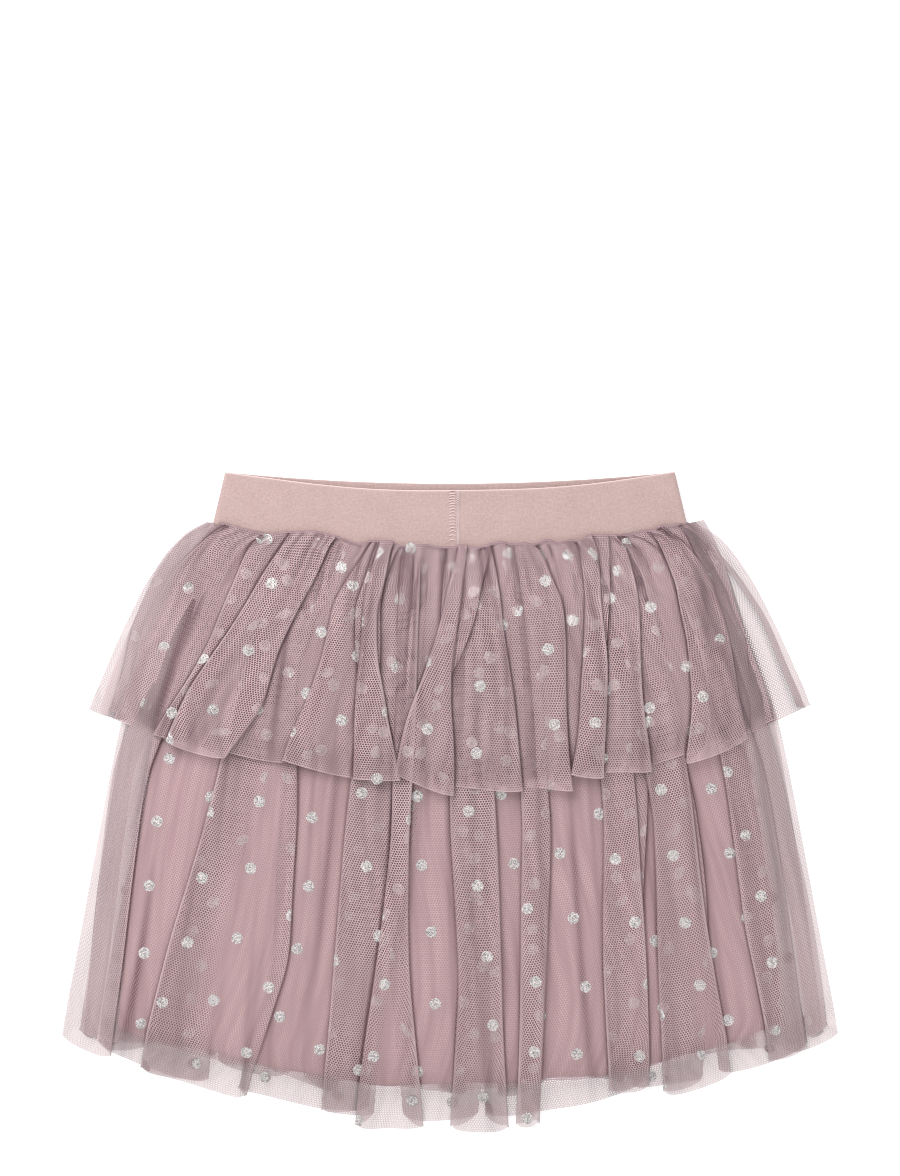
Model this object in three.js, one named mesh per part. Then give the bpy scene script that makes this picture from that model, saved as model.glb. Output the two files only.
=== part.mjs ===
// A child's two-tier net skirt, laid flat with its front up.
// Millimetres, +Z up, +Y towards the waist, +X to the right as the skirt lies.
// The origin is under the middle of the skirt, on the surface that it lies on.
// Six cloth panels lie on each other: from the bottom, the back of the top tier, the back of the
// lower tier, the two linings, the front of the lower tier and the front of the top tier.
import * as THREE from 'three';

// Cloth and clearances
const WALL = 1.1;
const BAND_WALL = 1.3;
const SEAM_WALL = 1.0;
const SEAM_GAP = 0.3;
const LAYER_GAP = 0.4;
const NET_FOLD = 2.8;
const LINING_FOLD = 0.7;
const FOLD_HEADROOM = 0.6;

// Elastic waistband, flattened into a ring: it is a little narrower at its top edge
const BAND_HALF_WIDTH_TOP = 120.5;
const BAND_HALF_WIDTH_BOTTOM = 127;
const BAND_DEPTH_TOP = 5.0;
const BAND_DEPTH_BOTTOM = 6.5;
const BAND_FRONT_TOP = 167.4;
const BAND_BACK_TOP = 171.1;
const BAND_CORNER_TOP = 177.3;
const BAND_BOTTOM = 136.8;
const BAND_CORNER_BOTTOM = 150.2;
const BAND_FLAT_STEPS = 12;
const BAND_END_STEPS = 6;
const BAND_LEVELS = [1, 0.5, 0];

// The overlocked join of the elastic, upright at the centre front
const SEAM_CENTRE = 2.1;
const SEAM_HALF_WIDTH = 3.1;
const SEAM_LEVELS = [0.98, 0.5, 0.02];

// Lengths at the centre front, below the waist seam
const WAIST_LINE = BAND_BOTTOM - SEAM_GAP;
const TOP_TIER_LENGTH = 127;
const LOWER_TIER_LENGTH = 306;
const LINING_LENGTH = 288;

// Widths of the skirt, a row for each section. below is the distance under the waist seam at the
// centre, the next three are half widths, and rise is how far the section climbs by RISE_REACH
// from the centre. The widths go on past each panel's own hem, where only its fall uses them.
const RISE_REACH = 100;
const SECTIONS = [
  { below: 0, topTier: 131, lowerTier: 126.5, lining: 122, rise: 8.3 },
  { below: 8, topTier: 142, lowerTier: 131, lining: 125, rise: 8.6 },
  { below: 22, topTier: 152.5, lowerTier: 139, lining: 130, rise: 8.9 },
  { below: 45, topTier: 164.5, lowerTier: 149, lining: 137.5, rise: 9.4 },
  { below: 80, topTier: 178.5, lowerTier: 162.5, lining: 147.5, rise: 10.1 },
  { below: 127, topTier: 195, lowerTier: 177, lining: 158, rise: 11.0 },
  { below: 147, topTier: 195, lowerTier: 181, lining: 161, rise: 11.0 },
  { below: 180, topTier: 195, lowerTier: 187, lining: 166.5, rise: 10.8 },
  { below: 220, topTier: 195, lowerTier: 194, lining: 173, rise: 10.6 },
  { below: 260, topTier: 195, lowerTier: 201, lining: 176, rise: 10.2 },
  { below: 288, topTier: 195, lowerTier: 206, lining: 178, rise: 9.8 },
  { below: 306, topTier: 195, lowerTier: 209.5, lining: 179, rise: 9.6 },
];

// Largest folds, a row for each, from left to right. atWaist and atHem are places across the
// panel, height is a share of the fold height, and drop is how much lower the fold's hem hangs.
const TOP_FRONT_FOLDS = [
  { atWaist: -105, atHem: -142, height: 0.8, drop: 0 },
  { atWaist: -83, atHem: -122, height: 1.0, drop: 7 },
  { atWaist: -56, atHem: -102, height: 0.7, drop: 0 },
  { atWaist: -36, atHem: -68, height: 0.9, drop: 6 },
  { atWaist: -17, atHem: -39, height: 0.6, drop: 5 },
  { atWaist: 2, atHem: -12, height: 1.0, drop: 7 },
  { atWaist: 20, atHem: 20, height: 0.7, drop: 0 },
  { atWaist: 42, atHem: 51, height: 0.9, drop: 6 },
  { atWaist: 70, atHem: 84, height: 0.6, drop: 3 },
  { atWaist: 88, atHem: 113, height: 0.9, drop: 0 },
  { atWaist: 106, atHem: 140, height: 1.0, drop: 4 },
];
const TOP_BACK_FOLDS = [
  { atWaist: -105, atHem: -140, height: 0.9, drop: 4 },
  { atWaist: -82, atHem: -117, height: 0.6, drop: 0 },
  { atWaist: -60, atHem: -92, height: 1.0, drop: 6 },
  { atWaist: -41, atHem: -60, height: 0.7, drop: 2 },
  { atWaist: -19, atHem: -33, height: 0.9, drop: 5 },
  { atWaist: 0, atHem: 0, height: 0.8, drop: 0 },
  { atWaist: 22, atHem: 34, height: 1.0, drop: 6 },
  { atWaist: 47, atHem: 67, height: 0.6, drop: 1 },
  { atWaist: 68, atHem: 96, height: 0.9, drop: 4 },
  { atWaist: 87, atHem: 120, height: 0.7, drop: 0 },
  { atWaist: 107, atHem: 142, height: 1.0, drop: 5 },
];
const LOWER_FRONT_FOLDS = [
  { atWaist: -106, atHem: -158, height: 0.8, drop: 2 },
  { atWaist: -80, atHem: -122, height: 0.6, drop: 0 },
  { atWaist: -52, atHem: -88, height: 0.6, drop: 4 },
  { atWaist: -35, atHem: -59, height: 0.9, drop: 0 },
  { atWaist: -18, atHem: -31, height: 1.0, drop: 7 },
  { atWaist: 9, atHem: 15, height: 1.0, drop: 8 },
  { atWaist: 26, atHem: 42, height: 0.8, drop: 6 },
  { atWaist: 57, atHem: 96, height: 0.9, drop: 0 },
  { atWaist: 82, atHem: 128, height: 0.6, drop: 3 },
  { atWaist: 107, atHem: 160, height: 0.8, drop: 2 },
];
const LOWER_BACK_FOLDS = [
  { atWaist: -103, atHem: -156, height: 0.9, drop: 2 },
  { atWaist: -80, atHem: -122, height: 0.7, drop: 0 },
  { atWaist: -57, atHem: -88, height: 1.0, drop: 3 },
  { atWaist: -30, atHem: -46, height: 0.6, drop: 0 },
  { atWaist: 1, atHem: 2, height: 0.9, drop: 5 },
  { atWaist: 25, atHem: 40, height: 0.8, drop: 2 },
  { atWaist: 44, atHem: 70, height: 1.0, drop: 5 },
  { atWaist: 64, atHem: 99, height: 0.6, drop: 0 },
  { atWaist: 84, atHem: 129, height: 0.9, drop: 3 },
  { atWaist: 105, atHem: 158, height: 0.7, drop: 1 },
];
const LINING_FOLDS = [
  { atWaist: -92, atHem: -138, height: 0.6, drop: 0 },
  { atWaist: -45, atHem: -66, height: 1.0, drop: 0 },
  { atWaist: 2, atHem: 0, height: 0.7, drop: 0 },
  { atWaist: 48, atHem: 68, height: 0.9, drop: 0 },
  { atWaist: 92, atHem: 136, height: 0.6, drop: 0 },
];

// The layers from the bottom up. width names the column of SECTIONS that the panel follows.
const LAYERS = [
  { node: 'top_tier_back', cloth: 'net', width: 'topTier', length: TOP_TIER_LENGTH,
    folds: TOP_BACK_FOLDS, foldHeight: NET_FOLD, restsFlat: true },
  { node: 'lower_tier_back', cloth: 'net', width: 'lowerTier', length: LOWER_TIER_LENGTH,
    folds: LOWER_BACK_FOLDS, foldHeight: NET_FOLD, restsFlat: true },
  { node: 'lining_back', cloth: 'lining', width: 'lining', length: LINING_LENGTH,
    folds: LINING_FOLDS, foldHeight: LINING_FOLD, restsFlat: true },
  { node: 'lining_front', cloth: 'lining', width: 'lining', length: LINING_LENGTH,
    folds: LINING_FOLDS, foldHeight: LINING_FOLD, restsFlat: false },
  { node: 'lower_tier_front', cloth: 'net', width: 'lowerTier', length: LOWER_TIER_LENGTH,
    folds: LOWER_FRONT_FOLDS, foldHeight: NET_FOLD, restsFlat: false },
  { node: 'top_tier_front', cloth: 'net', width: 'topTier', length: TOP_TIER_LENGTH,
    folds: TOP_FRONT_FOLDS, foldHeight: NET_FOLD, restsFlat: false },
];

// The panels from the inside out: each is wider than the one that it wraps
const WRAPS = ['lining', 'lowerTier', 'topTier'];

// How far past its own edges a layer still lifts what lies on it, and where folds fade out
const HEM_FALL = 20;
const SIDE_FALL_SHARE = 0.8;
const LEAST_SIDE_FALL = 1;
const FOLD_ZONE = 0.97;
const FOLD_FULL_BELOW = 45;
const FOLD_FADE_FROM = 0.55;
const SHOULDER_PLACE = 0.55;
const SHOULDER_HEIGHT = 0.8;

// Finishes
const FINISHES = {
  elastic: { color: 0xd6bab6, roughness: 0.85, metalness: 0 },
  thread: { color: 0xe2cdca, roughness: 0.7, metalness: 0 },
  net: { color: 0xb49599, roughness: 0.75, metalness: 0 },
  lining: { color: 0xc8a6a8, roughness: 0.9, metalness: 0 },
};

function mix(from, to, share) {
  return from + (to - from) * share;
}

function clampShare(share) {
  return Math.min(1, Math.max(0, share));
}

function smooth(share) {
  const t = clampShare(share);
  return t * t * (3 - 2 * t);
}

// Value of one column of SECTIONS at a distance below the waist
function sectionValue(column, below) {
  const last = SECTIONS.length - 1;
  for (let i = 0; i < last; i += 1) {
    const near = SECTIONS[i];
    const far = SECTIONS[i + 1];
    if (below <= far.below) {
      const share = (below - near.below) / (far.below - near.below);
      return mix(near[column], far[column], share);
    }
  }
  return SECTIONS[last][column];
}

// How far past its side edge a panel's lift falls away, on the way to the panel that wraps it
function sideFall(width, below) {
  const wider = WRAPS[WRAPS.indexOf(width) + 1] ?? width;
  const room = sectionValue(wider, below) - sectionValue(width, below);
  return Math.max(LEAST_SIDE_FALL, SIDE_FALL_SHARE * room);
}

// 1 where the layer is, falling to 0 just past its side edges and its hem
function presence(layer, x, below) {
  const beyondSide = Math.abs(x) - sectionValue(layer.width, below);
  const side = clampShare(1 - beyondSide / sideFall(layer.width, below));
  const hem = clampShare(1 - (below - layer.length) / HEM_FALL);
  return side * hem;
}

// Folds lie over the lining, and the tiers' side edges beyond it are flat
function foldZone(below) {
  return FOLD_ZONE * sectionValue('lining', below);
}

// Folds are full in the middle and die out at the gathered waist and at the sides
function foldStrength(x, below) {
  const across = Math.abs(x) / foldZone(below);
  const fade = clampShare((across - FOLD_FADE_FROM) / (1 - FOLD_FADE_FROM));
  return (1 - fade ** 2) * smooth(below / FOLD_FULL_BELOW);
}

// Height of the space that a layer takes up
function layerSpace(layer, x, below) {
  return WALL + (layer.foldHeight + FOLD_HEADROOM) * foldStrength(x, below);
}

function layerBase(index, x, below) {
  let base = 0;
  for (const lower of LAYERS.slice(0, index)) {
    base += presence(lower, x, below) * (layerSpace(lower, x, below) + LAYER_GAP);
  }
  return base;
}

// Columns over the folds: a trough, a shoulder, a ridge and a shoulder for each fold, then the
// last trough. Places are shares of the fold zone at the waist and at the hem.
function foldColumns(layer) {
  const ridges = layer.folds.map((fold) => ({
    waist: fold.atWaist / foldZone(0),
    hem: fold.atHem / foldZone(layer.length),
    height: fold.height,
    drop: fold.drop,
  }));
  const columns = [];
  let trough = { waist: -1, hem: -1, height: 0, drop: 0 };
  ridges.forEach((ridge, i) => {
    const next = ridges[i + 1];
    const nextTrough = {
      waist: next ? mix(ridge.waist, next.waist, 0.5) : 1,
      hem: next ? mix(ridge.hem, next.hem, 0.5) : 1,
      height: 0,
      drop: 0,
    };
    columns.push(trough, shoulder(trough, ridge), ridge, shoulder(nextTrough, ridge));
    trough = nextTrough;
  });
  columns.push(trough);
  return columns;
}

// Columns past the fold zone: at the edge of each panel inside this one, where its lift has
// fallen away, and at this panel's own edge
function edgePlaces(layer, below) {
  const inside = WRAPS.slice(0, WRAPS.indexOf(layer.width));
  const places = inside.flatMap((width) => {
    const edge = sectionValue(width, below);
    return [edge, edge + sideFall(width, below)];
  });
  places.push(sectionValue(layer.width, below));
  return places;
}

function shoulder(trough, ridge) {
  return {
    waist: mix(trough.waist, ridge.waist, SHOULDER_PLACE),
    hem: mix(trough.hem, ridge.hem, SHOULDER_PLACE),
    height: ridge.height * SHOULDER_HEIGHT,
    drop: ridge.drop,
  };
}

// A share of the fold height: ridges stand up on the front, and lie flat underneath on the back
function foldLift(layer, column) {
  if (!layer.restsFlat) return column.height;
  return column.height > 0 ? 0 : 1;
}

// One row of places across a panel, from its left edge to its right edge
function rowPlaces(layer, columns, below) {
  const edges = edgePlaces(layer, below);
  const left = edges.toReversed().map((edge) => ({ x: -edge, lift: 0, drop: 0 }));
  const right = edges.map((edge) => ({ x: edge, lift: 0, drop: 0 }));
  const isHem = below === layer.length;
  const folds = columns.map((column) => ({
    x: foldZone(below) * mix(column.waist, column.hem, below / layer.length),
    lift: foldLift(layer, column),
    drop: isHem ? column.drop : 0,
  }));
  return [...left, ...folds, ...right];
}

function panelPoints(index) {
  const layer = LAYERS[index];
  const columns = foldColumns(layer);
  const rows = SECTIONS.filter((section) => section.below <= layer.length);
  const under = rows.map(({ below, rise }) => rowPlaces(layer, columns, below).map((place) => {
    const y = WAIST_LINE - below + rise * (place.x / RISE_REACH) ** 2 - place.drop;
    const lift = layer.foldHeight * foldStrength(place.x, below) * place.lift;
    return new THREE.Vector3(place.x, y, layerBase(index, place.x, below) + lift);
  }));
  const upper = under.map((row) => row.map((point) => point.clone().setZ(point.z + WALL)));
  return { upper, under };
}

// One closed wall between an outer and an inner grid of points. Rows run down the cloth and
// columns across it; a ring's last column joins its first.
function wallGeometry(outer, inner, isRing) {
  const rowCount = outer.length;
  const columnCount = outer[0].length;
  const points = [...outer.flat(), ...inner.flat()];
  const innerStart = rowCount * columnCount;
  const outerAt = (r, c) => r * columnCount + (c % columnCount);
  const innerAt = (r, c) => innerStart + outerAt(r, c);
  const triangles = [];
  const quad = (a, b, c, d) => triangles.push(a, b, c, a, c, d);
  const steps = isRing ? columnCount : columnCount - 1;
  for (let c = 0; c < steps; c += 1) {
    for (let r = 0; r < rowCount - 1; r += 1) {
      quad(outerAt(r, c), outerAt(r + 1, c), outerAt(r + 1, c + 1), outerAt(r, c + 1));
      quad(innerAt(r, c), innerAt(r, c + 1), innerAt(r + 1, c + 1), innerAt(r + 1, c));
    }
    const last = rowCount - 1;
    quad(outerAt(0, c), outerAt(0, c + 1), innerAt(0, c + 1), innerAt(0, c));
    quad(outerAt(last, c), innerAt(last, c), innerAt(last, c + 1), outerAt(last, c + 1));
  }
  if (!isRing) {
    const last = columnCount - 1;
    for (let r = 0; r < rowCount - 1; r += 1) {
      quad(outerAt(r, 0), innerAt(r, 0), innerAt(r + 1, 0), outerAt(r + 1, 0));
      quad(outerAt(r, last), outerAt(r + 1, last), innerAt(r + 1, last), innerAt(r, last));
    }
  }
  const geometry = new THREE.BufferGeometry();
  geometry.setAttribute('position', new THREE.Float32BufferAttribute(
    points.flatMap((point) => point.toArray()), 3));
  geometry.setIndex(triangles);
  geometry.computeVertexNormals();
  return geometry;
}

// Places round the flattened band: across the front, round the right fold, back, and round the
// left fold. across runs from -1 to 1, and angle turns about the fold's centre.
function bandLoop() {
  const loop = [];
  for (const side of [1, -1]) {
    for (let i = 0; i < BAND_FLAT_STEPS; i += 1) {
      const share = i / BAND_FLAT_STEPS;
      loop.push({ across: side * mix(-1, 1, share), angle: side * Math.PI / 2 });
    }
    for (let i = 0; i < BAND_END_STEPS; i += 1) {
      const turn = Math.PI * i / BAND_END_STEPS;
      loop.push({ across: side, angle: side * (Math.PI / 2) - turn });
    }
  }
  return loop;
}

// A point of the band at a level from 0 at its bottom edge to 1 at its top edge
function bandPoint({ across, angle }, level, inset) {
  const depth = mix(BAND_DEPTH_BOTTOM, BAND_DEPTH_TOP, level);
  const halfWidth = mix(BAND_HALF_WIDTH_BOTTOM, BAND_HALF_WIDTH_TOP, level);
  const foldRadius = depth / 2;
  const radius = foldRadius - inset;
  const x = across * (halfWidth - foldRadius) + Math.cos(angle) * radius;
  const z = foldRadius + Math.sin(angle) * radius;
  const frontShare = z / depth;
  const bow = Math.min(1, Math.abs(x) / halfWidth) ** 2;
  const middleTop = mix(BAND_BACK_TOP, BAND_FRONT_TOP, frontShare);
  const top = mix(middleTop, BAND_CORNER_TOP, bow);
  const bottom = mix(BAND_BOTTOM, BAND_CORNER_BOTTOM, bow);
  return new THREE.Vector3(x, mix(bottom, top, level), z);
}

function bandPoints(inset) {
  const loop = bandLoop();
  return BAND_LEVELS.map((level) => loop.map((place) => bandPoint(place, level, inset)));
}

// The join lies on the front of the band, so its points are the band's own, moved out
function seamPoints(height) {
  const reach = BAND_HALF_WIDTH_BOTTOM - BAND_DEPTH_BOTTOM / 2;
  const offsets = [-SEAM_HALF_WIDTH, 0, SEAM_HALF_WIDTH];
  return SEAM_LEVELS.map((level) => offsets.map((offset) => {
    const place = { across: (SEAM_CENTRE + offset) / reach, angle: Math.PI / 2 };
    const point = bandPoint(place, level, 0);
    point.z += height;
    return point;
  }));
}

function clothMesh(name, geometry, cloth) {
  const mesh = new THREE.Mesh(geometry, new THREE.MeshStandardMaterial(FINISHES[cloth]));
  mesh.name = name;
  return mesh;
}

function buildSkirt() {
  const skirt = new THREE.Group();
  skirt.name = 'tulle_skirt';
  const band = wallGeometry(bandPoints(0), bandPoints(BAND_WALL), true);
  skirt.add(clothMesh('waistband', band, 'elastic'));
  const seam = wallGeometry(seamPoints(SEAM_GAP + SEAM_WALL), seamPoints(SEAM_GAP), false);
  skirt.add(clothMesh('waistband_seam', seam, 'thread'));
  LAYERS.forEach((layer, index) => {
    const { upper, under } = panelPoints(index);
    skirt.add(clothMesh(layer.node, wallGeometry(upper, under, false), layer.cloth));
  });
  return skirt;
}

export default buildSkirt();
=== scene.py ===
import math
import random
from collections import namedtuple

import bpy
import numpy as np
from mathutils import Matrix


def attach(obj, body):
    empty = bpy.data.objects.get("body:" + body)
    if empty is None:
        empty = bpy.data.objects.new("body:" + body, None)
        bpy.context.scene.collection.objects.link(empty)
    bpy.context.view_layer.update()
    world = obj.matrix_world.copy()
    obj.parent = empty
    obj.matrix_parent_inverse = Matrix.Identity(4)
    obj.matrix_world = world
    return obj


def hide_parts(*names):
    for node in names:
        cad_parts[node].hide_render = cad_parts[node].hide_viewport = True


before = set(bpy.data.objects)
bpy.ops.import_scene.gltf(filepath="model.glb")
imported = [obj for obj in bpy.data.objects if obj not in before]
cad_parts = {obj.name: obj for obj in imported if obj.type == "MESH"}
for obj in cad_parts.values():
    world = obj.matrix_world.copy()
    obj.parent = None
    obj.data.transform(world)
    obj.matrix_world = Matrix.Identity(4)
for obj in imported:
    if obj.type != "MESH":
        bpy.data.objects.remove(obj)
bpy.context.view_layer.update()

# A child's tulle skirt laid flat: two gathered net tiers over a jersey lining, on a band of soft elastic.
# Sizes are in millimetres unless a name says otherwise. "below" is the distance down the cloth from
# the waist line, and x is measured from the middle of the skirt.
MM = 0.001
FULL_TURN = 2 * math.pi
RANDOM_SEED = 7

# The outline of the laid skirt: half widths of each layer, and how far its rows rise at x = 100.
WAIST_LINE = 136.5
RISE_REACH = 100.0
Outline = namedtuple("Outline", "below top_tier lower_tier lining rise")
OUTLINES = [
    Outline(0, 131, 126.5, 122, 8.3),
    Outline(8, 142, 131, 125, 8.6),
    Outline(22, 152.5, 139, 130, 8.9),
    Outline(45, 164.5, 149, 137.5, 9.4),
    Outline(80, 178.5, 162.5, 147.5, 10.1),
    Outline(127, 195, 177, 158, 11.0),
    Outline(147, 195, 181, 161, 11.0),
    Outline(180, 195, 187, 166.5, 10.8),
    Outline(220, 195, 194, 173, 10.6),
    Outline(260, 195, 201, 176, 10.2),
    Outline(306, 195, 209.5, 179, 9.6),
]
TOP_LENGTH = 127.0
LOWER_LENGTH = 306.0
LINING_LENGTH = 288.0
LENGTHS = {"top_tier": TOP_LENGTH, "lower_tier": LOWER_LENGTH, "lining": LINING_LENGTH}

# How much height the layers take up: pressed together at the waist, loose below it.
FLOOR_GAP = 0.3
WAIST_SPACE = 1.5
NET_SPACE = 4.6
LINING_SPACE = 3.2
EDGE_SPACE = 1.0
LOOSE_BELOW = 50.0
EDGE_REACH = 38.0
WAIST_REACH = 6.0
SPREAD_BELOW = 60.0
LINING_PAST = 10.0
LINING_SLOPE = 20.0
WAIST_PRESS = 0.35
PRESS_BELOW = 30.0
SLOPE_WIDTH = 10.0

# Net and lining, as cut
NET_WIDTHS = {"top_tier": 740.0, "lower_tier": 860.0}
BAND_CUT = (0.5, 0.031)

# How the net folds: the step between stacked stretches, the softness of their turns, how much of
# the spare width the tucks take up, and how far the edges sweep out just below the band
STACK_STEP = 0.75
TURN_SOFTNESS = 5.0
TURN_POINTS = 3
LEAST_FOLD = 5.0
TUCK_FILL = 0.92
TUCK_SCALES = (0.5, 1.5)
WAIST_SWEEP = 0.035
SWEEP_CHANGE = 0.6
SWEEP_TURN = 2.1
SWEEP_REACH = 5.0
PUFF_REACH = 7.0
STATIONS = [0, 0.25, 0.5, 0.75, 1]

# What the net's shader reads at each point: painted shade, from how many layers cover it and from its
# creases and steep slopes, how much closer its thread lies, how pale it is, and how far it is a veil over
# the ground
PAINTED_SHADE, DENSE, PALE, VEIL = range(4)
COVER_SOFTNESS = 2.5
TUCK_FADE = 11.0
TUCK_THIN = 0.6
TUCK_CLEAR = 1.25
HEM_CLEAR = 12.0
WAIST_DENSE = 0.15
WAIST_DENSE_BELOW = 9.0
STEEP_DENSE = 0.5
STEEPEST = 1.5
LEAST_STEP = 0.15
OTHER_NET = 0.6
OTHER_NET_REACH = 4.0
HEM_LOOK = (0.3, 0.6)
SIDE_LOOK = (0.4, 0.3)
# The net's top edge over the band: painted shade, closer thread, and no paleness
LIP_LOOK = (0.55, 0.6, 0.0)

# Sines that make each fold waver in its own way: their size, and how they change down the cloth and
# from fold to fold
Waver = namedtuple("Waver", "size along number")
EDGE_WAVERS = [Waver(0.9, 9, 2.3)]
TUCK_WAVERS = [Waver(0.20, 5.3, 1.9), Waver(0.06, 11, 3.1)]
RIM_WAVERS = [Waver(0.3, 0, 2.7), Waver(0.22, 11, 1.7)]
RIM_STRENGTH = 0.36
RIM_LIMITS = (0.05, 0.85)
RIM_BELOW = 16.0
RIM_BESIDE = 0.3

# A fold of gathered net. It faces the side where its edge shows. The edge's place is given at the
# waist, a quarter, half, three quarters and all of the way down, and tuck is how far the cloth turns
# back under it. drop is how much lower than the outline the hem hangs there, and puff how far the
# edge stands up.
Fold = namedtuple("Fold", "faces waist quarter half three_quarters hem tuck_waist tuck_hem drop puff")
TOP_FRONT_FOLDS = [Fold(*row) for row in (
    ("left", -124, -149, -162, -170, -181, 14, 9, 2, 1.2),
    ("left", -106, -114, -127, -142, -158, 14, 10, 1.5, 1.4),
    ("left", -87, -104, -121, -138, -152, 13, 10, 2, 1.2),
    ("right", -64, -79, -92, -102, -122, 16, 12, 2, 1.8),
    ("left", -44, -60, -68, -77, -88, 14, 13, -3.5, 1.8),
    ("left", -38, -46, -47, -49.5, -52, 9, 10, 0.5, 1.2),
    ("right", -32, -40, -39.5, -35, -27, 9, 7, -2, 1.6),
    ("left", 5, -1, -12, -21, -28, 13, 14, -4, 1.8),
    ("right", 9, 3, 0, 1, 0.5, 9, 8, 5, 1.0),
    ("right", 22, 27, 30.5, 34, 39, 15, 12, 4, 1.8),
    ("right", 48, 59, 60, 62.5, 64, 14, 10, 7.5, 1.6),
    ("left", 70, 73, 73, 69.5, 65.5, 12, 12, 0, 1.6),
    ("right", 79, 80, 82, 82, 82, 6, 5, 3, 0.6),
    ("right", 94, 98, 100, 103, 106, 14, 11, 6, 2.0),
    ("left", 110, 121, 128, 129, 127, 11, 8, 6, 1.0),
    ("right", 118, 139, 147, 153, 160, 13, 11, 3.5, 1.4),
)]
LOWER_FRONT_FOLDS = [Fold(*row) for row in (
    ("right", -112, -138, -163, -174, -184, 14, 4, 1, 1.0),
    ("left", -92, -108, -127, -148, -165, 22, 29, 1.5, 1.8),
    ("right", -64, -84, -83, -86, -112, 12, 3, 2, 1.2),
    ("left", -38, -45, -54, -62, -68, 25, 28, 3, 2.0),
    ("left", -26, -28, -31, -40, -50, 9, 9, 8, 0.8),
    ("right", -16, -20, -23, -22, -16, 8, 8, 8, 1.2),
    ("left", 2, 2, 2, 5, 2, 15, 17, 8, 2.0),
    ("right", 14, 18, 23, 27, 30.5, 12, 11, 8, 1.8),
    ("left", 30, 36, 41, 39, 36, 9, 9, 7, 1.6),
    ("right", 42, 49, 53, 49, 47.5, 8, 8, 7, 1.4),
    ("left", 64, 76, 83, 84, 86.5, 19, 21, -4, 2.0),
    ("right", 80, 92, 100, 103, 106, 7, 6, -4, 0.8),
    ("left", 84, 97, 109, 112, 117, 18, 20, 2, 1.8),
    ("right", 97, 115, 128, 138, 150, 9, 6, 1, 1.0),
    ("left", 111, 136, 150, 158, 174, 18, 18, 1, 1.8),
    ("right", 119, 145, 168, 181, 191, 9, 7, 0, 1.0),
)]
TOP_BACK_FOLDS = [Fold(*row) for row in (
    ("right", -121, -143, -156, -166, -177, 13, 9, 1, 1.2),
    ("left", -104, -118, -130, -138, -147, 15, 12, 3, 1.6),
    ("right", -84, -93, -99, -108, -116, 14, 10, 0, 1.4),
    ("right", -66, -72, -80, -82, -90, 12, 11, 5, 1.8),
    ("left", -50, -58, -61, -66, -68, 16, 13, -2, 1.2),
    ("right", -24, -30, -34, -33, -36, 14, 12, 4, 1.6),
    ("left", -9, -8, -12, -17, -19, 12, 9, 2, 2.0),
    ("right", 9, 8, 12, 14, 12, 11, 10, 6, 1.0),
    ("left", 24, 31, 33, 38, 44, 15, 12, 0, 1.8),
    ("right", 47, 55, 62, 66, 69, 12, 10, 5, 1.4),
    ("left", 62, 71, 80, 83, 86, 13, 13, -3, 1.6),
    ("right", 82, 95, 101, 108, 117, 15, 11, 3, 1.8),
    ("left", 99, 110, 119, 131, 138, 12, 9, 4, 1.2),
    ("right", 112, 127, 139, 150, 158, 12, 10, 0, 1.4),
    ("left", 120, 137, 150, 157, 166, 11, 8, 2, 1.2),
    ("right", 127, 153, 168, 180, 192, 2.6, 2.6, 0, 0.8),
)]
LOWER_BACK_FOLDS = [Fold(*row) for row in (
    ("right", -116, -143, -170, -181, -192, 6, 9, 0, 0.8),
    ("left", -113, -140, -162, -177, -188, 11, 8, 2, 1.0),
    ("right", -97, -118, -136, -148, -160, 16, 17, -1, 1.6),
    ("left", -78, -93, -104, -118, -124, 18, 19, 3, 1.8),
    ("right", -52, -64, -74, -79, -88, 12, 10, 1, 1.4),
    ("right", -38, -46, -49, -58, -62, 11, 12, 6, 1.2),
    ("left", -22, -24, -31, -33, -38, 15, 17, -2, 1.8),
    ("right", 2, 6, 4, 9, 8, 12, 13, 4, 1.4),
    ("left", 16, 18, 24, 27, 26, 13, 9, 6, 1.6),
    ("right", 33, 42, 46, 45, 52, 9, 10, 0, 1.2),
    ("left", 50, 58, 66, 74, 77, 16, 18, 2, 1.8),
    ("right", 72, 86, 94, 98, 107, 13, 11, 5, 1.6),
    ("left", 86, 99, 112, 121, 130, 14, 15, -2, 1.4),
    ("right", 103, 125, 143, 156, 164, 12, 12, 3, 1.2),
    ("left", 117, 146, 169, 182, 194, 10, 8, 1, 1.0),
)]

# Ripples between the folds: how many to half of the skirt's width, and their height in mm at the
# waist, at a third and at the hem
Ripple = namedtuple("Ripple", "count waist third hem phase")
RIPPLES = [
    Ripple(5.3, 0.35, 0.55, 0.45, 0.4),
    Ripple(8.9, 0.60, 0.45, 0.30, 2.1),
    Ripple(13.7, 0.95, 0.36, 0.14, 4.0),
    Ripple(19.3, 1.10, 0.22, 0.06, 1.2),
    Ripple(26.1, 0.80, 0.12, 0.02, 5.3),
]
MEAN_RIPPLE = 1.27
RIPPLE_LEAN = 0.9
RIPPLE_SWELL = 0.35
SWELL_COUNT = 0.37
FRONT_RIPPLE_LIFT = 0.9
BACK_RIPPLE_LIFT = 1.2
EDGE_RIPPLE = 0.25
BACK_RIPPLE = 0.5
BACK_FOLDS = 0.72
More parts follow.
